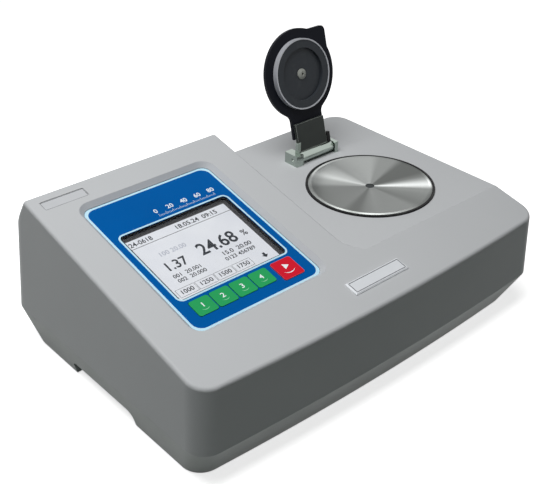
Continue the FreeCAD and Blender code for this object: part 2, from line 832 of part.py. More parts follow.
def hand_recess(name, side, grow):
    """The hollow under one side that a hand reaches into; grown by the wall for the tray's inside."""
    sign = "-" if side == "left" else ""
    body = plate(name, f"2 * (recess_depth + {grow})", f"recess_back + recess_front + 2 * {grow}",
                 f"recess_height + {grow} - base_bottom + overrun")
    round_edges(body, name + "_roof", "recess_round", lambda edge: top_across(edge))
    return place(body, f"{sign}(waist_half_width - foot_inset_side)", "(recess_back - recess_front) / 2",
                 "base_bottom - overrun")


def top_across(edge):
    """An edge along X at the top of a plate, away from its base plane."""
    first, last = edge.Vertexes[0].Point, edge.Vertexes[-1].Point
    return abs(first.y - last.y) < NEAR < abs(first.x - last.x) and min(first.z, last.z) > number("overrun")


def base_tray():
    shell = base_shape("tray_outside", "0")
    inside = base_shape("tray_inside", "wall")
    grown = [hand_recess(f"recess_wall_{side}", side, "wall") for side in ("left", "right")]
    pillars = [rod(f"tray_post_{index}", "case_post_radius", "waist_height", x, y, "0")
               for index, (x, y) in enumerate(CASE_SCREWS)]
    hollow = cut("tray_hollow", inside, *grown, *pillars)
    tools = [hollow] + [hand_recess(f"recess_{side}", side, "0") for side in ("left", "right")]
    for index, (x, y) in enumerate(CASE_SCREWS):
        tools.append(rod(f"tray_head_hole_{index}", "case_screw_head_radius + clearance",
                         "waist_height - case_screw_length / 2 - base_bottom + overrun", x, y,
                         "base_bottom - overrun"))
        tools.append(rod(f"tray_screw_hole_{index}", "case_screw_radius + clearance", "waist_height", x, y,
                         "base_bottom"))
    for index, (x, y) in enumerate(FOOT_PLACES):
        tools.append(rod(f"pad_seat_{index}", "pad_radius + clearance", "pad_sink + overrun", x, y,
                         "base_bottom - overrun"))
    keep(cut("base_tray", shell, *tools), "base_tray")


FOOT_PLACES = [(f"{sx}(waist_half_width - foot_inset_side - pad_side)", y) for sx in ("-", "")
               for y in ("foot_inset_front + front_bow + pad_end - waist_front",
                         "waist_back - foot_inset_back - pad_end")]


def foot_pads():
    pads = [rod(f"pad_{index}", "pad_radius", "pad_thickness", x, y, "0")
            for index, (x, y) in enumerate(FOOT_PLACES)]
    keep(group("foot_pads", *pads), "foot_pads")


def case_screws():
    """Four screws that come up through the tray's pillars into the cover's posts."""
    screws = []
    for index, (x, y) in enumerate(CASE_SCREWS):
        seat = "waist_height - case_screw_length / 2"
        head = rod(f"case_head_{index}", "case_screw_head_radius", "case_screw_head_height", x, y,
                   f"{seat} - case_screw_head_height")
        shank = rod(f"case_shank_{index}", "case_screw_radius - clearance / 3", "case_screw_length", x, y,
                    seat)
        screws.append(fuse(f"case_screw_{index}", head, shank))
    keep(group("case_screws", *screws), "case_screws")


# Display: overlay, pane, black well frame, display with its backlight and board, and the keys.
def display():
    sheet_body = console_tool("overlay_plate", "panel_floor_width - 2 * panel_gap",
                              "panel_floor_length - 2 * panel_gap", "overlay_thickness",
                              "panel_corner - panel_gap", "-panel_across", "panel_along", "panel_floor")
    through = "overlay_thickness + 2 * overrun"
    holes = [console_tool("overlay_window", "window_width", "window_length", through, "window_corner",
                          "-window_across", "window_along", "panel_floor - overrun")]
    for name, width, length, across, along in KEYS:
        holes.append(console_tool(f"{name}_slot", f"{width} + 2 * key_gap", f"{length} + 2 * key_gap",
                                  through, "key_corner", across, along, "panel_floor - overrun"))
    keep(cut("panel_overlay", sheet_body, *holes), "panel_overlay")

    frame = console_tool("well_outside", "window_width + 2 * well_wall - 2 * window_gap",
                         "window_length + 2 * well_wall - 2 * window_gap", "well_depth + window_thickness",
                         "window_corner", "-window_across", "window_along", "well_floor")
    well = console_tool("well_inside", "window_width", "window_length", "well_depth + 2 * overrun",
                        "window_corner", "-window_across", "window_along", "well_floor - overrun")
    keep(cut("display_well_frame", frame, well), "display_well_frame")
    keep(console_tool("display_window", "window_width - 2 * window_gap", "window_length - 2 * window_gap",
                      "window_thickness", "window_corner", "-window_across", "window_along",
                      "panel_floor - window_thickness"), "display_window")

    wide, long = "window_width + 2 * display_margin", "window_length + 2 * display_margin"
    level = "well_floor"
    for name, thickness, grow in (("display_panel", "display_thickness", "0"),
                                  ("display_backlight", "backlight_thickness", "display_margin / 2"),
                                  ("display_board", "board_thickness", "display_margin")):
        level = f"{level} - {thickness}"
        keep(console_tool(name, f"{wide} + 2 * {grow}", f"{long} - {grow}", thickness, None, "-window_across",
                          "window_along", level), name)


def keys():
    """Each key: a cap through the overlay and the tub floor, with a flange that holds it in from below.

    Neighbouring flanges keep the keys' own clearance between them, so that each key moves alone.
    """
    domes = []
    for name, width, length, across, along in KEYS:
        cap = console_tool(f"{name}_cap", width, length, "key_top - key_flange_top", "key_corner", across,
                           along, "key_flange_top")
        flange = console_tool(f"{name}_flange", f"{width} + soft_key_gap - key_gap",
                              f"{length} + 2 * key_flange", "key_flange_thickness", None, across, along,
                              "key_flange_low")
        keep(fuse(name, cap, flange), name)
        domes.append(lay(rod(f"{name}_dome", "dome_radius", "dome_height", "0", "0", "0"), across, along,
                         "key_board_top"))
    keep(group("key_domes", *domes), "key_domes")
    left = "soft_key_left"
    right = "(start_key_across - start_key_width / 2)"
    keep(console_tool("key_board", f"{left} - {right} + 2 * key_flange", "start_key_length + key_flange",
                      "board_thickness", None, f"-({left} + {right}) / 2", "start_key_along",
                      "key_board_top - board_thickness"), "key_board")


def badges():
    """The bevelled plate on the apron and the thin plate in its recess at the back of the console."""
    body = plate("front_badge", "badge_width", "badge_length", "badge_thickness")
    bevel_edges(body, "front_badge_bevel", "badge_bevel", lambda edge: on_top(edge, "badge_thickness"))
    keep(lay(body, "badge_across", "badge_along", "0"), "front_nameplate")
    keep(console_tool("rear_label", "label_width - clearance", "label_length - clearance", "label_thickness",
                      "edge_round / 2", "-label_across", "label_along", "-label_sink"), "rear_label_plate")


# Sample stage: gasket, dished steel plate, prism and the holder that carries the prism.
def stage():
    gasket = ring("gasket", "gasket_radius", "gasket_radius - gasket_width", "0", "stage_seat + gasket_rise")
    keep(place(gasket, "stage_right", "-stage_front", "seat_level"), "stage_gasket")
    bore = "prism_radius + prism_gap"
    low = "-stage_hub_depth"
    rim = "stage_top - seat_level"
    dish = turned("dish", [
        (bore, low), ("stage_hub_radius", low), ("stage_hub_radius", "0"), ("stage_radius", "0"),
        ("stage_radius", f"{rim} - stage_rim_step * 2"), ("stage_radius - stage_rim / 2", rim),
        ("stage_radius - stage_rim", f"{rim} - stage_rim_step"),
        ("prism_radius * 2", "dish_centre - seat_level"), (bore, "dish_centre - seat_level")])
    keep(place(dish, "stage_right", "-stage_front", "seat_level"), "sample_stage")
    keep(rod("prism_rod", "prism_radius", "prism_height", "stage_right", "-stage_front", "prism_low"),
         "prism")
    holder = turned("holder", [
        ("0", "0"), ("prism_holder_radius", "0"), ("prism_holder_radius", "prism_holder_height"),
        ("prism_radius + prism_gap", "prism_holder_height"),
        ("prism_radius + prism_gap", "prism_low - optics_top"), ("0", "prism_low - optics_top")])
    keep(place(holder, "stage_right", "-stage_front", "optics_top"), "prism_holder")


# Hinge and light shield. The shield's pieces are built as it stands open, leaning back.
HINGE_SCREW_SHARES = ("0.25", "0.75")


def in_lid(item, across, reach, offset):
    """Place on the open shield: reach is the way up it from the pin, offset the way behind it."""
    item.Placement = FreeCAD.Placement(VECTOR(), FreeCAD.Rotation(AXES["X"], 1))
    item.setExpression("Placement.Rotation.Angle", bound("-lid_lean_degrees"))
    lean_sin, lean_cos = "sin(lid_lean_degrees * 1 deg)", "cos(lid_lean_degrees * 1 deg)"
    return place(item, across,
                 f"hinge_back + ({reach}) * {lean_sin} + ({offset}) * {lean_cos}",
                 f"hinge_height + ({reach}) * {lean_cos} - ({offset}) * {lean_sin}")


def hinge():
    ears = [box(f"ear_{side}", width, "hinge_depth", "hinge_block_height", left, "hinge_front",
                "platform_height")
            for side, width, left in (("left", "hinge_left_ear", "hinge_left"),
                                      ("right", "hinge_right_ear",
                                       "hinge_left + hinge_width - hinge_right_ear"))]
    strip = box("hinge_strip", "hinge_width", "hinge_strip_depth", "hinge_strip_height", "hinge_left",
                "hinge_strip_front", "platform_height")
    pin_hole = along_pin("pin_hole", "pin_radius", "hinge_width + 2 * overrun", "hinge_left - overrun")
    keep(cut("hinge_bracket_cut", fuse("hinge_bracket_block", *ears, strip), pin_hole), "hinge_bracket")
    keep(along_pin("pin", "pin_radius", "hinge_width - 2 * pin_sink", "hinge_left + pin_sink"), "hinge_pin")
    screws = [rod(f"hinge_screw_{index}", "hinge_screw_radius", "hinge_screw_height",
                  f"barrel_left + barrel_width * {share}", "hinge_strip_front + hinge_strip_depth / 2",
                  "platform_height + hinge_strip_height")
              for index, share in enumerate(HINGE_SCREW_SHARES)]
    keep(group("hinge_screws", *screws), "hinge_screws")
    tube = along_pin("barrel_rod", "barrel_radius", "barrel_width", "barrel_left")
    bore = along_pin("barrel_bore", "pin_radius + pin_gap", "barrel_width + 2 * overrun",
                     "barrel_left - overrun")
    keep(cut("barrel", tube, bore), "hinge_barrel")
    keep(box("stop_tab", "stop_tab_width", "stop_tab_depth", "stop_tab_height",
             "hinge_left + hinge_left_ear - stop_tab_width", "hinge_back - stop_tab_depth / 2",
             "platform_height + hinge_block_height"), "hinge_stop_tab")
    stopper = in_lid(box_at_origin("stopper_block", "stopper_width", "stopper_depth", "stopper_height"),
                     "barrel_left + barrel_width - stopper_width", "0", "-stopper_front")
    keep(cut("stopper", stopper, along_pin("stopper_seat", "barrel_radius", "hinge_width", "hinge_left")),
         "rubber_stopper")


def along_pin(name, radius, length, left):
    """A cylinder on the hinge line."""
    return rod(name, radius, length, left, "hinge_back", "hinge_height", "X")


def box_at_origin(name, width, depth, height):
    return box(name, width, depth, height, "0", "0", "0")


def light_shield():
    arm = in_lid(box_at_origin("arm_plate", "arm_width", "arm_thickness", "arm_length"),
                 "stage_right - arm_width / 2", "0", "-arm_front")
    keep(cut("arm", arm, along_pin("arm_seat", "barrel_radius", "hinge_width", "hinge_left")), "lid_arm")

    body = new_body("lid_disc")
    pad(body, "lid_pad", shield_outline(body), "lid_thickness")
    round_edges(body, "lid_tab_corner", "lid_tab_round", tab_corner)
    round_edges(body, "lid_sweeps", "lid_sweep_round", on_rim)
    stand_in_lid(body, "lid_plate_offset + lid_thickness")
    keep(body, "lid_plate")

    rim = ring("rim", "ring_radius", "ring_radius - ring_wall", "0", "ring_height")
    stand_in_lid(rim, "lid_plate_offset")
    keep(rim, "lid_rim_ring")
    inner = "ring_radius - ring_wall - clearance / 3"
    insert = turned("seal", [
        ("boss_radius + clearance / 3", "0"), (inner, "0"), (inner, "seal_thickness + seal_step_height"),
        (f"{inner} - seal_step", "seal_thickness + seal_step_height"),
        (f"{inner} - seal_step", "seal_thickness"), ("boss_radius + clearance / 3", "seal_thickness")])
    stand_in_lid(insert, "lid_plate_offset")
    keep(insert, "lid_seal")
    boss = turned("boss", [("0", "0"), ("boss_radius", "0"),
                           ("boss_radius", "seal_thickness + boss_height / 2"),
                           ("boss_radius / 2", "seal_thickness + boss_height"),
                           ("boss_hole_radius", "seal_thickness + boss_height"),
                           ("boss_hole_radius", "seal_thickness"), ("0", "seal_thickness")])
    stand_in_lid(boss, "lid_plate_offset")
    keep(boss, "lid_boss")


def stand_in_lid(item, offset):
    """Stand a flat piece up in the open shield, its thickness pointing to the front."""
    item.Placement = FreeCAD.Placement(VECTOR(), FreeCAD.Rotation(AXES["X"], 1))
    item.setExpression("Placement.Rotation.Angle", bound("90 - lid_lean_degrees"))
    lean_sin, lean_cos = "sin(lid_lean_degrees * 1 deg)", "cos(lid_lean_degrees * 1 deg)"
    return place(item, "stage_right",
                 f"hinge_back + lid_reach * {lean_sin} + ({offset}) * {lean_cos}",
                 f"hinge_height + lid_reach * {lean_cos} - ({offset}) * {lean_sin}")


def shield_outline(body):
    """A disc with a neck down to the arm and a square finger tab at the upper right."""
    sketch = sketch_on(body, "lid_profile", "XY_Plane")
    radius, neck, tab = number("lid_radius"), number("lid_neck_width / 2"), number("lid_tab_corner")
    foot = -number("lid_reach - lid_neck_start")
    circle = Part.Circle(VECTOR(), AXES["Z"], radius)
    tab_low = VECTOR(tab, math.sqrt(radius ** 2 - tab ** 2), 0)
    tab_left = VECTOR(tab_low.y, tab, 0)
    neck_right = VECTOR(neck, -math.sqrt(radius ** 2 - neck ** 2), 0)
    neck_left = VECTOR(-neck, neck_right.y, 0)
    tab_angle = math.atan2(tab_low.y, tab_low.x)
    neck_angle = math.atan2(neck_right.y, neck_right.x)
    for piece in (
        Part.ArcOfCircle(circle, neck_angle, tab_angle),
        Part.LineSegment(tab_low, VECTOR(tab, tab, 0)),
        Part.LineSegment(VECTOR(tab, tab, 0), tab_left),
        Part.ArcOfCircle(circle, math.pi / 2 - tab_angle, math.pi - neck_angle),
        Part.LineSegment(neck_left, VECTOR(-neck, foot, 0)),
        Part.LineSegment(VECTOR(-neck, foot, 0), VECTOR(neck, foot, 0)),
        Part.LineSegment(VECTOR(neck, foot, 0), neck_right),
    ):
        sketch.addGeometry(piece, False)
    for index in range(7):
        sketch.addConstraint(Sketcher.Constraint("Coincident", index, 2, (index + 1) % 7, 1))
    for index in (0, 3):
        sketch.addConstraint(Sketcher.Constraint("Coincident", index, 3, -1, 1))
        dimension(sketch, "lid_radius", "Radius", index)
    for index in (1, 4, 6):
        sketch.addConstraint(Sketcher.Constraint("Vertical", index))
    for index in (2, 5):
        sketch.addConstraint(Sketcher.Constraint("Horizontal", index))
    dimension(sketch, "lid_tab_corner", "DistanceX", -1, 1, 2, 1)
    dimension(sketch, "lid_tab_corner", "DistanceY", -1, 1, 2, 1)
    dimension(sketch, "-lid_neck_width / 2", "DistanceX", -1, 1, 4, 2)
    dimension(sketch, "lid_neck_width / 2", "DistanceX", -1, 1, 5, 2)
    dimension(sketch, "lid_neck_start - lid_reach", "DistanceY", -1, 1, 4, 2)
    return sketch


def tab_corner(edge):
    """The upright edge at the outer corner of the finger tab."""
    point = edge.Vertexes[0].Point
    return upright(edge) and min(point.x, point.y) > number("lid_tab_corner") - NEAR


def on_rim(edge):
    """An upright edge where the neck or the tab leaves the round outline of the shield."""
    point = edge.Vertexes[0].Point
    return upright(edge) and abs(math.hypot(point.x, point.y) - number("lid_radius")) < NEAR


# Optics under the stage, with its lamp, lens, sensor, cooling stack and fan.
def optics():
    x, y = "stage_right", "-stage_front"
    keep(middle_box("optics_box", "optics_width", "optics_depth", "optics_height", x, y, "optics_low"),
         "optics_block")
    keep(rod("lamp", "lamp_radius", "lamp_length", x, f"{y} - optics_depth / 2 - lamp_length", "optics_beam",
             "Y"), "lamp_housing")
    lens_start = f"{y} + optics_depth / 2"
    keep(rod("lens", "lens_radius", "lens_length", x, lens_start, "optics_beam", "Y"), "lens_barrel")
    keep(middle_box("sensor", "sensor_width", "board_thickness", "sensor_height", x,
                    f"{lens_start} + lens_length + board_thickness / 2", "optics_beam - sensor_height / 2"),
         "sensor_board")
    keep(middle_box("thermo", "thermo_width", "thermo_width", "thermo_thickness", x, y, "sink_top"),
         "thermo_module")
    base = middle_box("sink_plate", "sink_width", "sink_depth", "sink_base", x, y, "sink_top - sink_base")
    fins = []
    for index in range(int(number("sink_fin_count"))):
        step = f"(sink_width - sink_fin) * {index} / (sink_fin_count - 1)"
        fins.append(middle_box(f"sink_fin_{index}", "sink_fin", "sink_depth", "sink_fin_height",
                               f"{x} - (sink_width - sink_fin) / 2 + {step}", y,
                               "sink_top - sink_base - sink_fin_height"))
    keep(fuse("sink", base, *fins), "heat_sink")
    pillars = []
    for sx in ("-", "+"):
        for sy in ("-", "+"):
            pillars.append(rod(f"optics_pillar_{len(pillars)}", "pillar_radius", "optics_low - floor_top",
                               f"{x} {sx} (optics_width / 2 - pillar_radius)",
                               f"{y} {sy} (optics_depth / 2 - pillar_radius)", "floor_top"))
    keep(group("optics_pillars", *pillars), "optics_pillars")


def fan():
    x, z = "stage_right", "connector_height"
    front = "panel_inside - fan_depth"
    frame = middle_box("fan_box", "fan_width", "fan_depth", "fan_width", x, f"{front} + fan_depth / 2",
                       f"{z} - fan_width / 2")
    bore = rod("fan_hole", "fan_bore", "fan_depth + 2 * overrun", x, f"{front} - overrun", z, "Y")
    spokes = [middle_box("fan_spoke_level", "fan_bore * 2", "fan_spoke", "fan_spoke", x,
                         f"{front} + fan_spoke / 2", f"{z} - fan_spoke / 2"),
              middle_box("fan_spoke_upright", "fan_spoke", "fan_spoke", "fan_bore * 2", x,
                         f"{front} + fan_spoke / 2", f"{z} - fan_bore"),
              rod("fan_motor", "fan_hub", "fan_spoke", x, front, z, "Y")]
    keep(fuse("fan_frame_all", cut("fan_frame_cut", frame, bore), *spokes), "fan_frame")
    hub_start = f"{front} + fan_spoke + clearance"
    depth = "(fan_depth - fan_spoke - 2 * clearance)"
    hub = rod("fan_hub_rod", "fan_hub", depth, x, hub_start, z, "Y")
    limit = rod("fan_sweep", "fan_bore - fan_tip_gap", depth, x, hub_start, z, "Y")
    blade = box_at_origin("fan_blade", "fan_blade_thickness",
                          f"{depth} / cos(fan_blade_degrees * 1 deg) + fan_blade_thickness", "fan_bore")
    turn(blade, "Z", "fan_blade_degrees")
    blades = [place(turn(group(f"fan_blade_{index}", blade), "Y", f"360 * {index} / fan_blade_count"),
                    x, hub_start, z)
              for index in range(int(number("fan_blade_count")))]
    vanes = common("fan_vanes", fuse("fan_blades", *blades), limit)
    keep(fuse("fan_rotor_all", hub, vanes), "fan_rotor")

    wires = []
    face = "panel_face"
    for index in range(int(number("guard_ring_count"))):
        torus = doc.addObject("Part::Torus", f"guard_ring_{index}")
        bind(torus, Radius1=f"fan_bore - {index} * guard_step", Radius2="guard_wire")
        torus.Placement = FreeCAD.Placement(VECTOR(), FreeCAD.Rotation(AXES["X"], 90))
        wires.append(place(torus, x, f"{face} + guard_wire", z))
    across = "2 * (fan_bore + 2 * guard_wire)"
    for name, wide, high in (("level", across, "guard_wire * 2"), ("upright", "guard_wire * 2", across)):
        wires.append(middle_box(f"guard_bar_{name}", wide, "guard_wire", high, x, f"{face} + guard_wire / 2",
                                f"{z} - ({high}) / 2"))
    keep(fuse("guard", *wires), "fan_guard")


# Boards on their standoffs, with the large components that stand on them. Each chip's place is two shares
# of the main board, across and along it; the supply's components stand in a row.
CHIP_PLACE_SHARES = {"processor": ("0.4", "0.5"), "memory": ("0.7", "0.55"), "converter": ("0.25", "0.75")}
CHIP_SIZES = {"processor": ("chip_width", "chip_width"), "memory": ("chip_width / 2", "chip_width"),
              "converter": ("chip_width / 2", "chip_width / 2")}
CAPACITOR_SHARES = ("0.15", "0.33")
TRANSFORMER_SHARE = "0.72"


def boards():
    standoffs = []
    for name in ("main_board", "supply_board"):
        width, depth, front = f"{name}_width", f"{name}_depth", f"{name}_start"
        keep(box(f"{name}_plate", width, depth, "board_thickness", "-board_left", front, "board_level"), name)
        for sx in ("standoff_inset", f"{width} - standoff_inset"):
            for sy in ("standoff_inset", f"{depth} - standoff_inset"):
                standoffs.append(rod(f"standoff_{len(standoffs)}", "standoff_radius", "standoff_height",
                                     f"{sx} - board_left", f"{sy} + {front}", "floor_top"))
    keep(group("board_standoffs", *standoffs), "board_standoffs")
    top = "board_level + board_thickness"
    chips = [middle_box(f"chip_{name}", *CHIP_SIZES[name], "chip_height",
                        f"main_board_width * {share} - board_left",
                        f"main_board_depth * {depth_share} + main_board_start", top)
             for name, (share, depth_share) in CHIP_PLACE_SHARES.items()]
    keep(group("board_chips", *chips), "board_chips")
    row = "supply_board_start + supply_board_depth / 2"
    keep(middle_box("transformer_block", "transformer_width", "transformer_width", "transformer_height",
                    f"supply_board_width * {TRANSFORMER_SHARE} - board_left", row, top), "transformer")
    cans = [rod(f"capacitor_{index}", "capacitor_radius", "capacitor_height",
                f"supply_board_width * {share} - board_left", row, top)
            for index, share in enumerate(CAPACITOR_SHARES)]
    keep(group("supply_capacitors", *cans), "supply_capacitors")


# Rear panel with the mains inlet, power switch, fuse holder, data connectors and the fan's outlet.
def on_panel(name, width, height, depth, across, inward="0"):
    """A block on the panel's outer face, or let into it by a given depth."""
    return middle_box(name, width, f"{depth} + {inward}", height, across,
                      f"panel_face + ({depth} - ({inward})) / 2", f"connector_height - ({height}) / 2")


def rear_panel():
    plate_box = middle_box("rear_plate", "rear_panel_width", "rear_panel_thickness", "rear_panel_height", "0",
                           "panel_inside + rear_panel_thickness / 2", "rear_panel_low")
    holes = [
        on_panel("inlet_hole", "inlet_body_width + clearance", "inlet_body_height + clearance", "overrun",
                 "-inlet_across", "overrun"),
        on_panel("switch_hole", "switch_width + clearance", "switch_height + clearance", "overrun",
                 "-switch_across", "overrun"),
        on_panel("serial_hole", "serial_shell_width + clearance", "serial_shell_height + clearance",
                 "overrun", "-serial_across", "overrun"),
        rod("fuse_hole", "fuse_body_radius + clearance", "2 * overrun", "-fuse_across",
            "panel_face - overrun", "connector_height", "Y"),
        rod("printer_hole", "printer_radius + clearance", "2 * overrun", "printer_across",
            "panel_face - overrun", "connector_height", "Y"),
        rod("fan_outlet", "fan_bore", "2 * overrun", "stage_right", "panel_face - overrun",
            "connector_height", "Y"),
    ]
    for index, (x, z) in enumerate(PANEL_SCREWS):
        holes.append(rod(f"panel_screw_hole_{index}", "screw_radius + clearance", "2 * overrun", x,
                         "panel_face - overrun", z, "Y"))
    keep(cut("rear_panel_cut", plate_box, *holes), "rear_panel")
    screws = []
    for index, (x, z) in enumerate(PANEL_SCREWS):
        head = rod(f"panel_head_{index}", "screw_head_radius", "screw_head_height", x,
                   "panel_inside - screw_head_height", z, "Y")
        shank = rod(f"panel_shank_{index}", "screw_radius", "rear_panel_thickness", x, "panel_inside", z, "Y")
        screws.append(fuse(f"panel_screw_{index}", head, shank))
    keep(group("rear_panel_screws", *screws), "rear_panel_screws")


PANEL_SCREWS = [(f"{sx}(rear_panel_width - rear_window_margin) / 2", z) for sx in ("-", "")
                for z in ("rear_panel_low + rear_window_margin",
                          "rear_panel_low + rear_panel_height - rear_window_margin")]


def inlet():
    flange = on_panel("inlet_flange", "inlet_flange_width", "inlet_flange_height", "inlet_flange_thickness",
                      "-inlet_across")
    body = on_panel("inlet_body", "inlet_body_width", "inlet_body_height", "0", "-inlet_across",
                    "inlet_body_depth")
    cavity = on_panel("inlet_cavity", "inlet_cavity_width", "inlet_cavity_height",
                      "inlet_flange_thickness + overrun", "-inlet_across",
                      "inlet_cavity_depth - inlet_flange_thickness")
    keep(cut("inlet_cut", fuse("inlet_solid", flange, body), cavity), "mains_inlet")
    pins = []
    root = "panel_face + inlet_flange_thickness - inlet_cavity_depth"
    for x, z in (("-inlet_pin_spread", "-inlet_pin_drop"), ("0", "inlet_pin_drop"),
                 ("inlet_pin_spread", "-inlet_pin_drop")):
        pins.append(middle_box(f"inlet_pin_{len(pins)}", "inlet_pin_width", "inlet_pin_length",
                               "inlet_pin_height", f"{x} - inlet_across", f"{root} + inlet_pin_length / 2",
                               f"connector_height + {z} - inlet_pin_height / 2"))
    keep(group("inlet_pins", *pins), "inlet_pins")


def power_switch():
    body = on_panel("switch_body", "switch_width", "switch_height", "0", "-switch_across", "switch_depth")
    flange = on_panel("switch_rim", "switch_width + 2 * switch_flange", "switch_height + 2 * switch_flange",
                      "switch_flange_thickness", "-switch_across")
    mouth = on_panel("switch_mouth", "rocker_width + 2 * rocker_gap", "rocker_height + 2 * rocker_gap",
                     "overrun", "-switch_across", "rocker_thickness")
    keep(cut("switch_cut", fuse("switch_solid", body, flange), mouth), "power_switch_frame")
    rocker = new_body("rocker")
    half, low = "rocker_height / 2", "rocker_thickness / 2"
    crown = "switch_flange_thickness"
    slant = "rocker_height / 2 * sin(rocker_degrees * 1 deg)"
    sketch = polygon(sketch_on(rocker, "rocker_section", "YZ_Plane"), [
        (f"-{low}", "0"), ("0", f"-{half}"), (f"{crown} + {slant}", f"-{half}"), (crown, "0"),
        (f"{crown} + {slant}", half), ("0", half)])
    item = pad(rocker, "rocker_pad", sketch, "rocker_width")
    item.Midplane = True
    rocker.Placement = FreeCAD.Placement(VECTOR(), FreeCAD.Rotation(AXES["X"], 1))
    rocker.setExpression("Placement.Rotation.Angle", bound("rocker_degrees"))
    keep(place(rocker, "-switch_across", "panel_face", "connector_height"), "power_switch_rocker")


def connectors():
    knob = rod("fuse_cap", "fuse_radius", "fuse_knob", "-fuse_across", "panel_face", "connector_height", "Y")
    stem = rod("fuse_stem", "fuse_body_radius", "fuse_body_depth", "-fuse_across",
               "panel_face - fuse_body_depth", "connector_height", "Y")
    slot = middle_box("fuse_slot", "fuse_radius", "overrun", "fuse_radius / 4", "-fuse_across",
                      "panel_face + fuse_knob + overrun / 2 - fuse_radius / 4",
                      "connector_height - fuse_radius / 8")
    keep(cut("fuse_cut", fuse("fuse_solid", knob, stem), slot), "fuse_holder")
    keep(fuse("serial_solid",
              on_panel("serial_rim", "serial_width", "serial_height", "serial_flange", "-serial_across"),
              on_panel("serial_shell", "serial_shell_width", "serial_shell_height", "serial_shell_depth",
                       "-serial_across", "serial_body_depth")), "serial_connector")
    keep(rod("printer_shell", "printer_radius", "printer_depth + printer_body_depth", "printer_across",
             "panel_face - printer_body_depth", "connector_height", "Y"), "printer_connector")


for build in (top_cover, base_tray, foot_pads, case_screws, display, keys, badges, stage, hinge, light_shield,
              optics, fan, boards, rear_panel, inlet, power_switch, connectors):
    build()
doc.recompute()

faults = [item.Name for item in doc.Objects if {"Invalid", "Error"} & set(item.State)]
faults += [item.Label for item in parts if item.Shape.isNull() or not item.Shape.isValid()]
if faults:
    raise RuntimeError("not built: " + ", ".join(faults))
for item in parts:
    item.Shape.exportStep(f"parts/{item.Label}.step")
    print(item.Label, len(item.Shape.Solids), round(item.Shape.Volume))
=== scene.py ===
# %% [markdown]
# A bench refractometer with a sloping console on the left and a steel sample dish on the right.
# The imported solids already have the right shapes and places. This file gives them their finishes,
# adds the printing, the contacts and the fine turned work, and sets up the camera and the light.

# %% Load the frame
import json
import math

import bmesh
import bpy
from mathutils import Matrix, Vector


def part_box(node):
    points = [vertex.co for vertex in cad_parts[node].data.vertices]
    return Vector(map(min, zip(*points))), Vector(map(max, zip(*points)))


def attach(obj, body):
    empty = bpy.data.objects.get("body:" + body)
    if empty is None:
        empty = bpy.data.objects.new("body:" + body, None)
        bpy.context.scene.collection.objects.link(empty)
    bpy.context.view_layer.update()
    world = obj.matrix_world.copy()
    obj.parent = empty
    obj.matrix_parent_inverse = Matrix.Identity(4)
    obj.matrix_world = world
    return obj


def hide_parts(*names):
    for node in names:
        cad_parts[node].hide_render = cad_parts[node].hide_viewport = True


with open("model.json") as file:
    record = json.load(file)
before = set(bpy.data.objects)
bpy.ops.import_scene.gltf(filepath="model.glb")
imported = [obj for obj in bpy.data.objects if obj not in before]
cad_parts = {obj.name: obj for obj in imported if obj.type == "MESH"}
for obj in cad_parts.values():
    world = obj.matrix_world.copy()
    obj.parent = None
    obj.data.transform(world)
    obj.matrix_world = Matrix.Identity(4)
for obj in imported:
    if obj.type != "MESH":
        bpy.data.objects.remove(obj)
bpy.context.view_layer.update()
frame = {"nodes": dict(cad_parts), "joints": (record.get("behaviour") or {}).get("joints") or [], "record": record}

MM = 0.001
nodes = frame["nodes"]

# %% [markdown]
# The console's face slopes, and everything printed on it is laid out along that slope. A key travels
# straight into the face, so the direction of its joint gives the slope exactly, with no angle to copy.

# %% Directions of the sloping face
press = next(joint for joint in frame["joints"] if joint["name"] == "start_key_press")
ACROSS = Vector((1, 0, 0))
RISE = -Vector(press["axis"]).normalized()
ALONG = RISE.cross(ACROSS)


def slope_span(node):
    """Lowest and highest corner of a node, measured across, along and out of the sloping face."""
    spots = [vertex.co for vertex in nodes[node].data.vertices]
    rows = [[spot.dot(axis) for spot in spots] for axis in (ACROSS, ALONG, RISE)]
    return Vector([min(row) for row in rows]), Vector([max(row) for row in rows])


def slope_place(across, along, rise):
    """The matrix that lays a flat piece on the sloping face at a place measured along it."""
    turn = Matrix((ACROSS, ALONG, RISE)).transposed().to_4x4()
    return Matrix.Translation(ACROSS * across + ALONG * along + RISE * rise) @ turn


print("slope in degrees:", round(math.degrees(math.asin(ALONG.z)), 2))

# %% [markdown]
# The camera stands where the photographer stood: to the left of the front, looking down at the part.
# Its place and angles were fitted to the edges of the housing in the photograph. The focal length is
# written as a share of the picture's width, so the sensor may be any size.

# %% Camera
EYE = Vector((-0.469, -0.515, 0.504))
HEADING, TILT, ROLL = (math.radians(angle) for angle in (41.81, 31.45, 0.66))
PICTURE_WIDTH = 550
FOCAL_SHARE = 983 / PICTURE_WIDTH
CENTRE_OFFSET = -1 / PICTURE_WIDTH


def camera_turn(heading, tilt, roll):
    """Columns right, up and back for a camera that looks along a heading, tilted down and rolled."""
    ahead = Vector((math.sin(heading) * math.cos(tilt), math.cos(heading) * math.cos(tilt), -math.sin(tilt)))
    level = Vector((math.cos(heading), -math.sin(heading), 0))
    above = level.cross(ahead)
    right = level * math.cos(roll) + above * math.sin(roll)
    up = above * math.cos(roll) - level * math.sin(roll)
    return Matrix((right, up, -ahead)).transposed().to_4x4()


lens = bpy.data.cameras.new("camera")
lens.sensor_width = 36
lens.lens = FOCAL_SHARE * lens.sensor_width
lens.shift_y = CENTRE_OFFSET
camera = bpy.data.objects.new("camera", lens)
camera.matrix_world = Matrix.Translation(EYE) @ camera_turn(HEADING, TILT, ROLL)
bpy.context.scene.collection.objects.link(camera)
bpy.context.scene.camera = camera
print("lens:", round(lens.lens, 2), "mm")

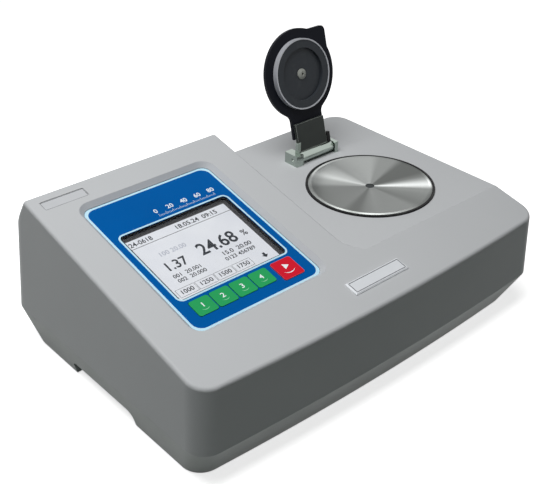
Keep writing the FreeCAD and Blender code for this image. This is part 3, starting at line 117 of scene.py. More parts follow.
# %% [markdown]
# Every finish is worked out by nodes, so it has its detail at any distance and needs no pictures.
# Small classes keep that readable. A Value is a number that changes over the surface, and ordinary
# arithmetic on it adds the Math nodes. A Tree holds nodes, and its one method adds any other node.

# %% Arithmetic on nodes
class Value:
    """What comes out of a node. Arithmetic on it adds Math nodes to its tree."""

    def __init__(self, tree, socket):
        self.tree = tree
        self.socket = socket

    def math(self, operation, *inputs):
        return self.tree.node("ShaderNodeMath", {"operation": operation}, dict(enumerate(inputs)))

    def __add__(self, other):
        return self.math("ADD", self, other)

    def __radd__(self, other):
        return self.math("ADD", other, self)

    def __sub__(self, other):
        return self.math("SUBTRACT", self, other)

    def __rsub__(self, other):
        return self.math("SUBTRACT", other, self)

    def __mul__(self, other):
        return self.math("MULTIPLY", self, other)

    def __rmul__(self, other):
        return self.math("MULTIPLY", other, self)

    def __pow__(self, other):
        return self.math("POWER", self, other)

    def __abs__(self):
        return self.math("ABSOLUTE", self)

    def above(self, limit):
        """One where the value is over the limit, and nothing elsewhere."""
        return self.math("GREATER_THAN", self, limit)

    def fade(self, low, high):
        """Nothing at low, one at high, with a smooth step between them."""
        return self.tree.node("ShaderNodeMapRange", {"interpolation_type": "SMOOTHSTEP"},
                              {"Value": self, "From Min": low, "From Max": high})


class Tree:
    """A tree of nodes under construction."""

    def __init__(self, tree):
        self.tree = tree

    def feed(self, socket, value):
        if isinstance(value, Value):
            self.tree.links.new(value.socket, socket)
        else:
            socket.default_value = value

    def node(self, kind, settings=None, inputs=None, output=0):
        """Add a node: its settings first, then the values or links of its sockets."""
        made = self.tree.nodes.new(kind)
        for name, value in (settings or {}).items():
            setattr(made, name, value)
        for name, value in (inputs or {}).items():
            self.feed(made.inputs[name], value)
        return Value(self, made.outputs[output])


# %% [markdown]
# A finish on the real object is paint, plating or bare stock. Here it is a material with one Principled
# shader, kept in a table. Its methods add what most finishes share: where a point is on the piece, soft
# noise of a given size, a mix of two colours, the nearness of an edge, and small dents.

# %% Finish
FINISHES = {}


class Finish(Tree):
    """A material under construction, with its Principled shader."""

    def __init__(self, name, slot=None, **sockets):
        self.material = bpy.data.materials.new(name)
        self.material.use_nodes = True
        super().__init__(self.material.node_tree)
        self.shader = self.tree.nodes["Principled BSDF"]
        self.slot = slot
        self.put(**sockets)
        FINISHES[name] = self

    def put(self, **sockets):
        """Set or link sockets of the shader. A name such as Base_Color stands for Base Color."""
        for name, value in sockets.items():
            self.feed(self.shader.inputs[name.replace("_", " ")], value)

    def place(self, axis=None):
        """Where a point is on the piece, or one of its three coordinates."""
        spot = self.node("ShaderNodeTexCoord", output="Object")
        if axis is None:
            return spot
        return self.node("ShaderNodeSeparateXYZ", None, {0: spot}, output=axis)

    def speckle(self, size, detail=2, where=None):
        """Soft random variation from 0 to 1, with patches of the given size in metres."""
        return self.node("ShaderNodeTexNoise", None,
                         {"Vector": where or self.place(), "Scale": 1 / size, "Detail": detail}, output="Fac")

    def mix(self, share, first, second):
        """A colour between two, by a share that may vary."""
        return self.node("ShaderNodeMix", {"data_type": "RGBA"}, {0: share, 6: first, 7: second}, output=2)

    def edges(self, radius):
        """Nothing on open faces, and more towards a sharp edge, within a radius in metres."""
        soft = self.node("ShaderNodeBevel", {"samples": 6}, {"Radius": radius})
        flat = self.node("ShaderNodeNewGeometry", output="Normal")
        alike = self.node("ShaderNodeVectorMath", {"operation": "DOT_PRODUCT"}, {0: soft, 1: flat},
                          output="Value")
        return 1 - alike

    def dents(self, height, depth, strength=1.0):
        """Raise and lower the surface by a height from 0 to 1, as deep as the depth in metres."""
        return self.node("ShaderNodeBump", None,
                         {"Height": height, "Distance": depth, "Strength": strength}, output="Normal")


# %% [markdown]
# Colours are easiest to judge as numbers from 0 to 255, the way a screen shows them. A shader works
# with amounts of light, so each number is straightened out first. A second helper scales a colour, for
# the small changes of tone that every real surface has.

# %% Colours as they look
def shade(red, green, blue):
    """A colour as it looks on a screen, from 0 to 255, turned into the light it stands for."""
    def linear(part):
        part = part / 255
        return part / 12.92 if part <= 0.04045 else ((part + 0.055) / 1.055) ** 2.4
    return (linear(red), linear(green), linear(blue), 1)


def darker(colour, share):
    """The same colour with a share of its light, which may also be more than one."""
    return tuple(part * share for part in colour[:3]) + (1,)


print("light of a middle grey:", round(shade(128, 128, 128)[0], 3))

# %% [markdown]
# The housing is a plastic moulding sprayed with a light-grey satin paint. Such paint has a fine
# stipple that catches the light along rounded edges, and a slow change of tone where the coat is
# thicker. Handling leaves it slightly smoother in patches, which shows only in the gloss.

# %% Housing paint
PAINT_GLOSS = 0.07


def paint(name, slot, colour, roughness, stipple=0.45 * MM, depth=0.018 * MM):
    """Sprayed paint, with the size and the depth of its stipple in metres."""
    finish = Finish(name, slot, Specular_IOR_Level=PAINT_GLOSS)
    cloud = finish.speckle(0.09, 3)
    grain = finish.speckle(stipple, 2)
    rub = finish.speckle(0.02, 4)
    tone = cloud * 0.7 + grain * 0.3
    finish.put(Base_Color=finish.mix(tone, darker(colour, 0.955), darker(colour, 1.035)),
               Roughness=rub * 0.1 + (roughness - 0.05),
               Normal=finish.dents(grain, depth))


paint("housing_paint", "housing", shade(188, 190, 192), 0.4)
paint("tray_paint", "tray", shade(184, 187, 187), 0.45)
paint("rear_plate_paint", "rear_plate", shade(70, 72, 74), 0.55, 0.6 * MM, 0.03 * MM)
paint("black_coat", "black_metal", shade(21, 23, 30), 0.46, 0.4 * MM, 0.01 * MM)
print("finishes:", len(FINISHES))

# %% [markdown]
# Mouldings in plain plastic are not sprayed. Their surface comes from the spark-eroded mould, so it
# is rougher and a little pitted, and light scatters on it evenly. Rubber is the same, but duller, with
# grey dust in its pores.

# %% Plastics and rubber
MOULDING_GLOSS = 0.2
DUST = shade(120, 120, 118)


def moulding(name, slot, colour, roughness, pit=0.5 * MM, depth=0.03 * MM, dust=0.0):
    """A moulded surface, with the size and the depth of its pits in metres and a share of dust."""
    finish = Finish(name, slot, Specular_IOR_Level=MOULDING_GLOSS)
    pits = finish.speckle(pit, 3)
    patch = finish.speckle(0.012, 3)
    tone = finish.mix(pits, darker(colour, 0.85), darker(colour, 1.12))
    if dust:
        tone = finish.mix(patch.fade(0.5, 0.8) * dust, tone, DUST)
    finish.put(Base_Color=tone, Roughness=patch * 0.14 + (roughness - 0.07),
               Normal=finish.dents(pits, depth))


moulding("black_moulding", "black_plastic", shade(26, 26, 28), 0.48)
moulding("black_rubber", "rubber", shade(24, 24, 25), 0.68, 0.4 * MM, 0.04 * MM, 0.18)
moulding("seal_rubber", None, shade(48, 52, 57), 0.45, 0.4 * MM, 0.03 * MM, 0.1)
moulding("pale_moulding", "pale_boss", shade(160, 162, 156), 0.35)
moulding("white_ceramic", "ceramic", shade(232, 231, 226), 0.55, 0.3 * MM)
print("finishes:", len(FINISHES))

# %% [markdown]
# Bare metal shows how it was made. A stamped can has rolling lines, a casting has a grainy skin, and
# a plated piece is smooth with faint hairlines. Each is a metal with a stretched or even noise in its
# roughness and its bump.

# %% Metals
EVEN, ALONG_X = (1, 1, 1), (1, 6, 6)   # how the grain is squeezed along each axis of the piece


def metal(name, slot, colour, roughness, grain, stretch=EVEN, depth=0.008 * MM, spread=0.12, bare=1.0):
    """Bare or plated metal. The grain's size and depth are in metres, and bare is the metal's share."""
    finish = Finish(name, slot, Metallic=bare)
    where = finish.node("ShaderNodeMapping", None, {"Vector": finish.place(), "Scale": stretch})
    lines = finish.speckle(grain, 3, where)
    cloud = finish.speckle(0.015, 3)
    finish.put(Base_Color=finish.mix(cloud, darker(colour, 0.9), darker(colour, 1.05)),
               Roughness=lines * spread + cloud * 0.06 + (roughness - spread / 2),
               Normal=finish.dents(lines, depth))


metal("nickel_plate", "nickel", shade(174, 184, 177), 0.17, 0.6 * MM, ALONG_X, 0.003 * MM, 0.06)
metal("zinc_plate", "zinc_screw", shade(196, 197, 196), 0.34, 0.4 * MM)
metal("stamped_steel", "steel_can", shade(186, 187, 188), 0.36, 0.7 * MM, (1, 12, 12))
metal("cast_alloy", "cast_alloy", shade(168, 170, 171), 0.52, 0.7 * MM, EVEN, 0.05 * MM)
metal("grey_anodised", "grey_ring", shade(182, 184, 190), 0.42, 0.4 * MM, EVEN, 0.006 * MM, bare=0.3)
metal("badge_metal", "badge_metal", shade(210, 213, 217), 0.34, 0.5 * MM, (1, 10, 10), 0.006 * MM, bare=0.3)
metal("brass", "brass", shade(205, 170, 92), 0.3, 0.6 * MM)
print("finishes:", len(FINISHES))

# %% [markdown]
# The arm of the shield is blackened steel. Along its edges the black has worn through to bare metal,
# and that pale bare colour also paints the line of highlight that the edges catch: partly wear, partly
# painted highlight. The Bevel node tells where the edges are: near one, the rounded normal that it
# gives leans away from the flat one.

# %% Blackened steel with worn edges and painted edge highlights
def blackened(name, colour, bare, radius):
    """A black skin worn through to bare metal within a radius of each edge: wear and painted highlight."""
    finish = Finish(name, Specular_IOR_Level=0.2)
    skin = finish.speckle(0.0005, 2)
    cloud = finish.speckle(0.01, 3)
    # wear and painted highlight: pale bare metal along the edges, where the edges catch light
    worn_and_highlight = (finish.edges(radius) + cloud * 0.04).fade(0.05, 0.16)
    coat = finish.mix(cloud, darker(colour, 0.85), darker(colour, 1.15))
    finish.put(Base_Color=finish.mix(worn_and_highlight, coat, bare), Metallic=worn_and_highlight * 0.6,
               Roughness=skin * 0.12 + 0.4 - worn_and_highlight * 0.1, Normal=finish.dents(skin, 0.02 * MM))


# wear and painted highlight: the radius of the pale edges
EDGE_WEAR_AND_HIGHLIGHT = 0.45 * MM
blackened("dark_oxide", shade(50, 54, 52), shade(196, 202, 196), EDGE_WEAR_AND_HIGHLIGHT)
print("finishes:", len(FINISHES))

# %% [markdown]
# The sample dish is turned on a lathe, and the tool leaves thousands of fine rings. Light is spread
# across the rings and not along them, which gives the bright and dark wedges that meet at the middle.
# The Principled shader does that with its anisotropy, which by itself runs around the piece's upright
# axis, as the rings do. The wedges are also painted into the colour: a table of sectors makes some of
# them brighter or duller, as painted reflection. Each one fades in and out over a few degrees.

# %% Turned steel with painted reflection wedges
# painted reflection: a base share of the bright colour, and sectors that paint brighter or darker wedges
BASE_PAINTED_SHEEN = 0.16
PAINTED_REFLECTION_SECTORS = (   # from, to in degrees around the dish, and how much brighter than the rest
    (-47, -36, 0.84), (-36, -29, 0.36), (-20, 14, -0.11), (14, 38, 0.08), (38, 82, 0.22), (82, 92, 0.17),
    (92, 112, 0.28), (112, 123, 0.38), (123, 142, 0.15), (201, 216, -0.11), (226, 270, 0.06),
    (272, 300, -0.05))
SECTOR_EDGE, SECTOR_LEAD = 6, 10   # degrees of fading, and of turn that is counted before a sector
RING_PITCH = 0.25 * MM


def turned_steel(name, slot, centre):
    """Metal turned around an upright axis through a centre, with reflection wedges painted in its colour."""
    finish = Finish(name, slot, Metallic=1.0, Anisotropic=0.86)
    east = finish.place("X") - centre.x
    north = finish.place("Y") - centre.y
    radius = (east * east + north * north) ** 0.5
    around = finish.node("ShaderNodeMath", {"operation": "ARCTAN2"}, {0: north, 1: east})
    where = finish.node("ShaderNodeCombineXYZ", None, {0: radius * (1 / RING_PITCH), 1: around * 1.5})
    rings = finish.speckle(1, 2, where)
    cloud = finish.speckle(0.02, 3)

    def step(turn, angle):
        return turn.fade(math.radians(angle - SECTOR_EDGE), math.radians(angle + SECTOR_EDGE))

    # painted reflection: each sector adds to or takes from the share of the bright colour
    painted_sheen = BASE_PAINTED_SHEEN
    for low, high, gain in PAINTED_REFLECTION_SECTORS:
        first = math.radians(low - SECTOR_LEAD)
        turn = finish.node("ShaderNodeMath", {"operation": "WRAP"},
                           {0: around, 1: first + 2 * math.pi, 2: first})
        painted_sheen = painted_sheen + (step(turn, low) - step(turn, high)) * gain
    bright = finish.mix(rings, shade(226, 230, 229), shade(248, 251, 249))
    finish.put(Base_Color=finish.mix(painted_sheen, darker(shade(178, 184, 179), 0.2), bright),
               Roughness=rings * 0.08 + cloud * 0.05 + 0.26, Normal=finish.dents(rings, 0.004 * MM, 0.5))


stage_low, stage_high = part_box("sample_stage")
STAGE = (stage_low + stage_high) / 2
turned_steel("turned_steel", "turned_steel", STAGE)
metal("pin_steel", "turned_steel", shade(196, 197, 197), 0.25, 0.4 * MM, (1, 8, 8))
print("dish centre:", [round(part, 4) for part in STAGE])

# %% [markdown]
# The control panel is a printed film: a deep blue ink under a satin skin. The keys are the same film
# in green and red, pushed up by the domes below, so they share one finish with other colours.

# %% Printed film
def film(name, slot, colour, roughness=0.34):
    """Ink under a satin skin, or on top of it."""
    finish = Finish(name, slot, Specular_IOR_Level=0.03)
    skin = finish.speckle(0.7 * MM, 2)
    cloud = finish.speckle(0.03, 3)
    finish.put(Base_Color=finish.mix(cloud, darker(colour, 0.93), darker(colour, 1.05)),
               Roughness=cloud * 0.1 + (roughness - 0.05),
               Normal=finish.dents(skin, 0.012 * MM))


film("overlay_film", "overlay_blue", shade(0, 86, 158))
film("green_film", "key_green", shade(44, 158, 92))
film("red_film", "key_red", shade(206, 30, 48))
film("label_film", "label_film", shade(192, 194, 197), 0.4)
# the last two inks are painted shade: dark lines along the edges of the two plates
INKS = {"white_ink": (236, 242, 245), "pale_line_ink": (190, 225, 240), "arc_ink": (150, 215, 180),
        "red_edge_ink": (226, 96, 106), "dark_line_ink": (130, 132, 136), "engraved_line": (58, 60, 64)}
for name, colour in INKS.items():
    film(name, None, shade(*colour), 0.5)
film("display_ink", None, shade(30, 34, 42), 0.6)
film("faint_display_ink", None, shade(176, 180, 192), 0.6)
print("inks:", len(INKS) + 2)

# %% [markdown]
# A liquid crystal display has a pale reflector behind a grid of very small cells. The grid is drawn as
# thin darker lines every third of a millimetre, and the sheet is a little uneven in tone. A dark mask
# frames the cells, and its edge is worked out from the sheet's own middle. The pane over it is clear
# and thin: it lets most light straight through and mirrors more of it the flatter one looks at it.

# %% Display and pane
DISPLAY_MASK = 6.8 * MM
CELL = 0.34 * MM


def display_face(name, slot):
    """A pale sheet with a grid of cells inside a dark mask."""
    finish = Finish(name, slot, Specular_IOR_Level=0.3)
    low, high = slope_span("display_panel")
    middle, reach = (low + high) / 2, (high - low) / 2
    across = finish.place("X")
    along = finish.place("Y") * ALONG.y + finish.place("Z") * ALONG.z
    inside = ((reach.x - DISPLAY_MASK - abs(across - middle.x)).above(0)
              * (reach.y - DISPLAY_MASK - abs(along - middle.y)).above(0))
    column, row = [finish.node("ShaderNodeMath", {"operation": "PINGPONG"}, {0: line, 1: CELL / 2})
                   for line in (across, along)]
    grid = 1 - column.fade(0, CELL / 8) * row.fade(0, CELL / 8)
    cloud = finish.speckle(0.025, 2)
    pale = finish.mix(cloud, shade(213, 216, 224), shade(231, 233, 237))
    cells = finish.mix(grid * 0.25, pale, shade(180, 184, 194))
    finish.put(Base_Color=finish.mix(inside, shade(36, 35, 38), cells), Roughness=cloud * 0.08 + 0.42)


def clear_pane(name, slot):
    """A clear sheet that mirrors more of the light the flatter one looks at it."""
    finish = Finish(name, slot, Base_Color=(0.9, 0.93, 0.95, 1), Metallic=1.0)
    smear = finish.speckle(0.02, 3)
    edge_on = finish.node("ShaderNodeLayerWeight", None, {"Blend": 0.4}, output="Fresnel")
    finish.put(Roughness=smear * 0.05 + 0.03, Alpha=edge_on * 0.03 + smear * 0.008 + 0.002)


display_face("display_face", "lcd")
clear_pane("clear_pane", "clear_pane")
print("display cell:", CELL / MM, "mm")

# %% [markdown]
# The prism is a polished piece of dark, hard crystal. It is a near-black gloss with a trace of the
# holder showing through it. The boards are green laminate, with the weave of the glass cloth and the
# pattern of the tracks under the lacquer.

# %% Crystal and boards
def crystal(name, slot):
    """Polished and nearly black."""
    finish = Finish(name, slot, Specular_IOR_Level=0.12)
    depth = finish.speckle(0.003, 2)
    finish.put(Base_Color=finish.mix(depth, shade(20, 24, 26), shade(52, 58, 60)),
               Roughness=depth * 0.05 + 0.05)


def laminate(name, slot):
    """A lacquered board with the pattern of its tracks."""
    finish = Finish(name, slot, Coat_Weight=0.4, Coat_Roughness=0.2)
    blocks = finish.node("ShaderNodeTexBrick", {"offset": 0.5},
                         {"Vector": finish.place(), "Scale": 160, "Mortar Size": 0.06}, output="Fac")
    weave = finish.speckle(0.6 * MM, 1)
    tone = finish.mix(weave, shade(14, 74, 42), shade(24, 98, 56))
    finish.put(Base_Color=finish.mix(blocks * 0.7, tone, shade(48, 128, 76)), Roughness=weave * 0.1 + 0.4,
               Normal=finish.dents(1 - blocks, 0.03 * MM))


crystal("prism_crystal", "sapphire")
laminate("green_laminate", "green_board")
print("finishes:", len(FINISHES))

# %% [markdown]
# Each solid keeps its shape and takes the finish of the real piece. The record's slots say which
# pieces share a material, so one table from slot to finish covers them all, with a few exceptions.

# %% Dress the solids
SLOT_FINISH = {finish.slot: name for name, finish in FINISHES.items() if finish.slot}
SLOT_FINISH["turned_steel"] = "turned_steel"   # two finishes share this slot, and the pin has the other
OWN_FINISH = {"hinge_pin": "pin_steel", "lid_arm": "dark_oxide", "lid_seal": "seal_rubber"}


def dress(item, name):
    """Give a piece one finish, and clear what it had."""
    item.data.materials.clear()
    item.data.materials.append(FINISHES[name].material)


for row in frame["record"]["subparts"]:
    dress(nodes[row["node"]], OWN_FINISH.get(row["node"], SLOT_FINISH[row["material_slot"]]))
print("dressed:", len(nodes))

# %% [markdown]
# A machined or stamped edge is never quite sharp. The small chamfer on it is too narrow to see, but
# it catches a line of light, and that line is what makes the hinge read as metal. A Bevel modifier
# adds it to the pieces that need it, after a Weld has joined their triangles.

# %% Broken edges
BROKEN_EDGES = {"hinge_barrel": 0.3 * MM, "hinge_stop_tab": 0.2 * MM, "rubber_stopper": 0.3 * MM}
SHARP = math.radians(35)
for node, width in BROKEN_EDGES.items():
    weld = nodes[node].modifiers.new("weld", "WELD")
    weld.merge_threshold = 0.01 * MM
    bevel = nodes[node].modifiers.new("broken_edge", "BEVEL")
    bevel.width = width
    bevel.segments = 2
    bevel.limit_method = "ANGLE"
    bevel.angle_limit = SHARP
    bevel.harden_normals = True
print("broken edges:", len(BROKEN_EDGES))

# %% [markdown]
# Printing is a skin of ink, too thin to see from the side but real enough to catch an edge of light.
# A closed outline is filled as a flat curve and raised by the thickness of the ink. Two outlines, one
# inside the other, give a line or a frame. The curve is made a mesh before it goes to its place.

# %% Flat printed shapes
INK = 0.05 * MM
DOUBLES = 1e-7


def as_mesh(item):
    """The finished mesh of a curve or a text, with its doubles merged."""
    bpy.context.scene.collection.objects.link(item)
    shape = bpy.data.meshes.new_from_object(item.evaluated_get(bpy.context.evaluated_depsgraph_get()))
    bpy.data.objects.remove(item)
    tidy = bmesh.new()
    tidy.from_mesh(shape)
    bmesh.ops.remove_doubles(tidy, verts=tidy.verts, dist=DOUBLES)
    bmesh.ops.recalc_face_normals(tidy, faces=tidy.faces)
    tidy.to_mesh(shape)
    tidy.free()
    return shape


def settle(name, shape, matrix, finish, body="housing"):
    """Place a mesh by its vertices, give it a finish, and let it ride on a body."""
    shape.transform(matrix)
    item = bpy.data.objects.new(name, shape)
    bpy.context.scene.collection.objects.link(item)
    dress(item, finish)
    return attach(item, body)


def flat_shape(outlines, thickness=INK):
    """A filled flat shape, its underside at zero. Each outline is a list of points in metres."""
    curve = bpy.data.curves.new("outline", "CURVE")
    curve.dimensions = "2D"
    curve.fill_mode = "BOTH"
    curve.extrude = thickness / 2
    for points in outlines:
        line = curve.splines.new("POLY")
        line.points.add(len(points) - 1)
        for spot, (x, y) in zip(line.points, points):
            spot.co = (x, y, 0, 1)
        line.use_cyclic_u = True
    shape = as_mesh(bpy.data.objects.new("outline", curve))
    shape.transform(Matrix.Translation((0, 0, thickness / 2)))
    return shape


print("ink thickness:", INK / MM, "mm")

# %% [markdown]
# Nearly every print is a box, a circle, a box with round corners, or a figure of the plain font. The
# helpers give the outlines as points, in order around them, and the figures as a mesh.

# %% Outlines and figures
def box_outline(left, low, right, high):
    """The four corners of an upright rectangle."""
    return [(left, low), (right, low), (right, high), (left, high)]


def arc(centre, radius, start, end, steps=8):
    """Points along an arc, its angles in degrees."""
    angles = [math.radians(start + (end - start) * step / steps) for step in range(steps + 1)]
    return [(centre[0] + radius * math.cos(angle), centre[1] + radius * math.sin(angle)) for angle in angles]


def circle(radius, steps):
    """The outline of a circle about the middle."""
    return arc((0, 0), radius, 0, 360, steps)[:-1]


def rounded(width, height, corner):
    """The outline of a rectangle with round corners, about its middle."""
    x, y = width / 2 - corner, height / 2 - corner
    corners = (((x, y), 0), ((-x, y), 90), ((-x, -y), 180), ((x, -y), 270))
    return [point for centre, start in corners for point in arc(centre, corner, start, start + 90)]


FIGURE_SHARE = 0.73   # a figure's height as a share of the font's size
FIGURE_WEIGHT = 0.02   # how far its strokes are grown, as a share of its height


def lettering(text, height, squeeze=1.0):
    """Plain figures of a given height, as a mesh that lies flat."""
    font = bpy.data.curves.new("figures", "FONT")
    font.body = text
    font.size = height / FIGURE_SHARE
    font.align_x = font.align_y = "CENTER"
    font.extrude = INK / 2
    font.offset = height * FIGURE_WEIGHT
    font.resolution_u = 3
    shape = as_mesh(bpy.data.objects.new("figures", font))
    shape.transform(Matrix.Translation((0, 0, INK / 2)) @ Matrix.Diagonal((squeeze, 1, 1, 1)))
    return shape


print("points around a round box:", len(rounded(1, 1, 0.1)))

# %% [markdown]
# The overlay is printed blue up to a pale margin, and a second pale line runs around the window. Both
# are frames: a rounded outline with a smaller one inside it. The margin's inner corners are rounder
# than the plate's own, which leaves more of it at the corners. The sizes come from the pieces.

# %% Border lines of the overlay
overlay_low, overlay_high = slope_span("panel_overlay")
pane_low, pane_high = slope_span("display_window")
FACE = overlay_high.z


def frame_line(name, low, high, grow, line, corner, finish, inner_corner=None, rise=None):
    """A printed line, or a line of painted shade, around a rectangle on the sloping face, grown by a margin."""
    size = high - low
    width, height = size.x + 2 * grow, size.y + 2 * grow
    shape = flat_shape([rounded(width, height, corner),
                        rounded(width - 2 * line, height - 2 * line, inner_corner or corner - line)])
    middle = (low + high) / 2
    settle(name, shape, slope_place(middle.x, middle.y, FACE if rise is None else rise), finish)


frame_line("overlay_margin", overlay_low, overlay_high, -0.05 * MM, 1.9 * MM, 7.7 * MM, "pale_line_ink",
           inner_corner=8.2 * MM)
frame_line("window_border_line", pane_low, pane_high, 1.7 * MM, 1.5 * MM, 5.6 * MM, "pale_line_ink")
print("overlay across:", round(overlay_low.x, 4), round(overlay_high.x, 4))

# %% [markdown]
# Many small things on the instrument repeat: scale ticks, contact pins, grip ridges, the crosses in
# screw heads. Geometry Nodes make them. A Growth is such a tree, with its sizes as named inputs. It
# puts one small shape on every point it is given, and hands back one plain mesh with its finish on.

# %% Growth
class Growth(Tree):
    """A Geometry Nodes tree under construction. It starts from points, and its sizes are named."""

    def __init__(self, name, **sizes):
        super().__init__(bpy.data.node_groups.new(name, "GeometryNodeTree"))
        sockets = self.tree.interface
        sockets.new_socket("Points", in_out="INPUT", socket_type="NodeSocketGeometry")
        sockets.new_socket("Geometry", in_out="OUTPUT", socket_type="NodeSocketGeometry")
        self.keys = {}
        for label, size in sizes.items():
            kind = "NodeSocketInt" if isinstance(size, int) else "NodeSocketFloat"
            self.keys[sockets.new_socket(label, in_out="INPUT", socket_type=kind).identifier] = size
        entry = self.tree.nodes.new("NodeGroupInput")
        self.points = Value(self, entry.outputs["Points"])
        self.size = {label: Value(self, entry.outputs[label]) for label in sizes}

    def vector(self, x=0.0, y=0.0, z=0.0):
        """Three numbers as one vector, each of them a size or a plain number."""
        return self.node("ShaderNodeCombineXYZ", None, {0: x, 1: y, 2: z})

    def mesh(self, shape, finish, points=((0, 0, 0),)):
        """Run the tree on some points, and return what it makes as a plain mesh."""
        real = self.node("GeometryNodeRealizeInstances", None, {0: shape})
        dressed = self.node("GeometryNodeSetMaterial", None,
                            {"Geometry": real, "Material": FINISHES[finish].material})
        self.feed(self.tree.nodes.new("NodeGroupOutput").inputs["Geometry"], dressed)
        start = bpy.data.meshes.new("points")
        start.from_pydata([tuple(point) for point in points], [], [])
        item = bpy.data.objects.new("points", start)
        growth = item.modifiers.new("growth", "NODES")
        growth.node_group = self.tree
        for key, size in self.keys.items():
            growth[key] = size
        return as_mesh(item)


# %% [markdown]
# Above the window runs a small scale of white ticks with plain figures. A row of points is spaced by
# the pitch, and every tick is a thin block on its point, with each fifth one long.

# %% Scale above the window
def tick_row(count, pitch, length, width=0.3 * MM, every=5):
    """A row of ticks on a line, the first one and each fifth after it at full length."""
    growth = Growth("tick_row", Count=count, Pitch=pitch, Length=length, Width=width, Every=every)
    size = growth.size
    row = growth.node("GeometryNodeMeshLine", {"mode": "OFFSET"},
                      {"Count": size["Count"], "Offset": growth.vector(size["Pitch"])})
    index = growth.node("GeometryNodeInputIndex")
    short = growth.node("ShaderNodeMath", {"operation": "MODULO"}, {0: index, 1: size["Every"]}).above(0.5)
    tick = growth.node("GeometryNodeMeshCube", None,
                       {"Size": growth.vector(size["Width"], size["Length"], INK)})
    lift = growth.vector(0.0, size["Length"] * 0.5, INK / 2)
    standing = growth.node("GeometryNodeTransform", None, {"Geometry": tick, "Translation": lift})
    shrink = growth.vector(1.0, 1 - short * 0.45, 1.0)
    ticks = growth.node("GeometryNodeInstanceOnPoints", None,
                        {"Points": row, "Instance": standing, "Scale": shrink})
    return growth.mesh(ticks, "white_ink")


TICKS, TICK_PITCH, TICK_LENGTH = 41, 1.35 * MM, 3 * MM
FIGURE_HEIGHT = 4.6 * MM
scale_left = pane_high.x - 6 * MM - (TICKS - 1) * TICK_PITCH
scale_foot = pane_high.y + 4.6 * MM
settle("scale_ticks", tick_row(TICKS, TICK_PITCH, TICK_LENGTH), slope_place(scale_left, scale_foot, FACE),
       "white_ink")
for mark in range(0, TICKS, 10):
    place = slope_place(scale_left + mark * TICK_PITCH, scale_foot + 6.6 * MM, FACE)
    settle(f"scale_figure_{mark}", lettering(str(mark * 2), FIGURE_HEIGHT), place, "white_ink")
print("scale ticks:", TICKS)

# %% [markdown]
# The four green keys are separate, and a hairline of the same green film lies between each two of them.
# It stays on the housing. Its width is measured between the keys' hidden flanges, which stand closer
# together than the caps, and a little is taken off at both sides to leave the keys free.

# %% Film between the green keys
KEYS = [f"soft_key_{number}" for number in range(1, 5)]
STRIP_GAP, STRIP_INSET = 0.12 * MM, 0.2 * MM
for number, (first, second) in enumerate(zip(KEYS, KEYS[1:]), 1):
    (_, left), (right, _) = slope_span(first), slope_span(second)
    width = right.x - left.x - 2 * STRIP_GAP
    foot = slope_span(first)[0].y + STRIP_INSET
    strip = flat_shape([box_outline(0, 0, width, left.y - STRIP_INSET - foot)])
    settle(f"soft_key_strip_{number}", strip, slope_place(left.x + STRIP_GAP, foot, FACE), "green_film")
print("film between green keys:", round(width / MM, 3), "mm wide")

# %% [markdown]
# The keys carry white figures with a short curved line below. Each print rides on its own key, so it
# goes down with it. The red key has a triangle, and a paler edge where its ink stops.

# %% Key prints
def bow(width, sag, line):
    """A curved line that hangs between two ends, thin at both."""
    top, steps = [], 12
    for step in range(steps + 1):
        x = (step / steps - 0.5) * width
        top.append((x, -sag * (1 - (2 * x / width) ** 2)))
    low = [(x, y - line * (1 - (2 * x / width) ** 2)) for x, y in reversed(top[1:-1])]
    return flat_shape([top + low])


def on_key(key, name, shape, lift, ink):
    """A print on the top of a key, above or below its middle, that rides on the key."""
    low, high = slope_span(key)
    middle = (low + high) / 2
    settle(f"{key}_{name}", shape, slope_place(middle.x, middle.y + lift, high.z), ink, key)


for number, key in enumerate(KEYS, 1):
    on_key(key, "figure", lettering(str(number), FIGURE_HEIGHT, 1.1), 0.8 * MM, "white_ink")
    on_key(key, "arc", bow(7 * MM, 1.2 * MM, 0.5 * MM), -2.6 * MM, "arc_ink")

RED_CAP, EDGE_LINE = Vector((19.6, 19.7)) * MM, 0.5 * MM   # the cap is what stands out of the panel
on_key("start_key", "triangle", flat_shape([circle(3.4 * MM, 3)]), 2.4 * MM, "white_ink")
on_key("start_key", "arc", bow(11 * MM, 1.9 * MM, 0.8 * MM), -2.6 * MM, "white_ink")
edge = flat_shape([rounded(RED_CAP.x, RED_CAP.y, 1.9 * MM),
                   rounded(RED_CAP.x - EDGE_LINE, RED_CAP.y - EDGE_LINE, 1.7 * MM)])
on_key("start_key", "edge", edge, 0, "red_edge_ink")
print("red cap:", [round(side / MM, 1) for side in RED_CAP], "mm")

# %% [markdown]
# The display shows a reading, as such an instrument does at work: a line of small figures at the top, a
# large number with its unit, and smaller values below. All of it is plain figures, and one row of them
# is faint. Places are measured from the lower left corner of the window.

# %% What the display shows
SCREEN = slope_span("display_panel")[1].z


def on_screen(name, shape, across, along, ink="display_ink"):
    """A print on the display, its place in millimetres from the window's lower left corner."""
    settle(name, shape, slope_place(pane_low.x + across * MM, pane_low.y + along * MM, SCREEN), ink)


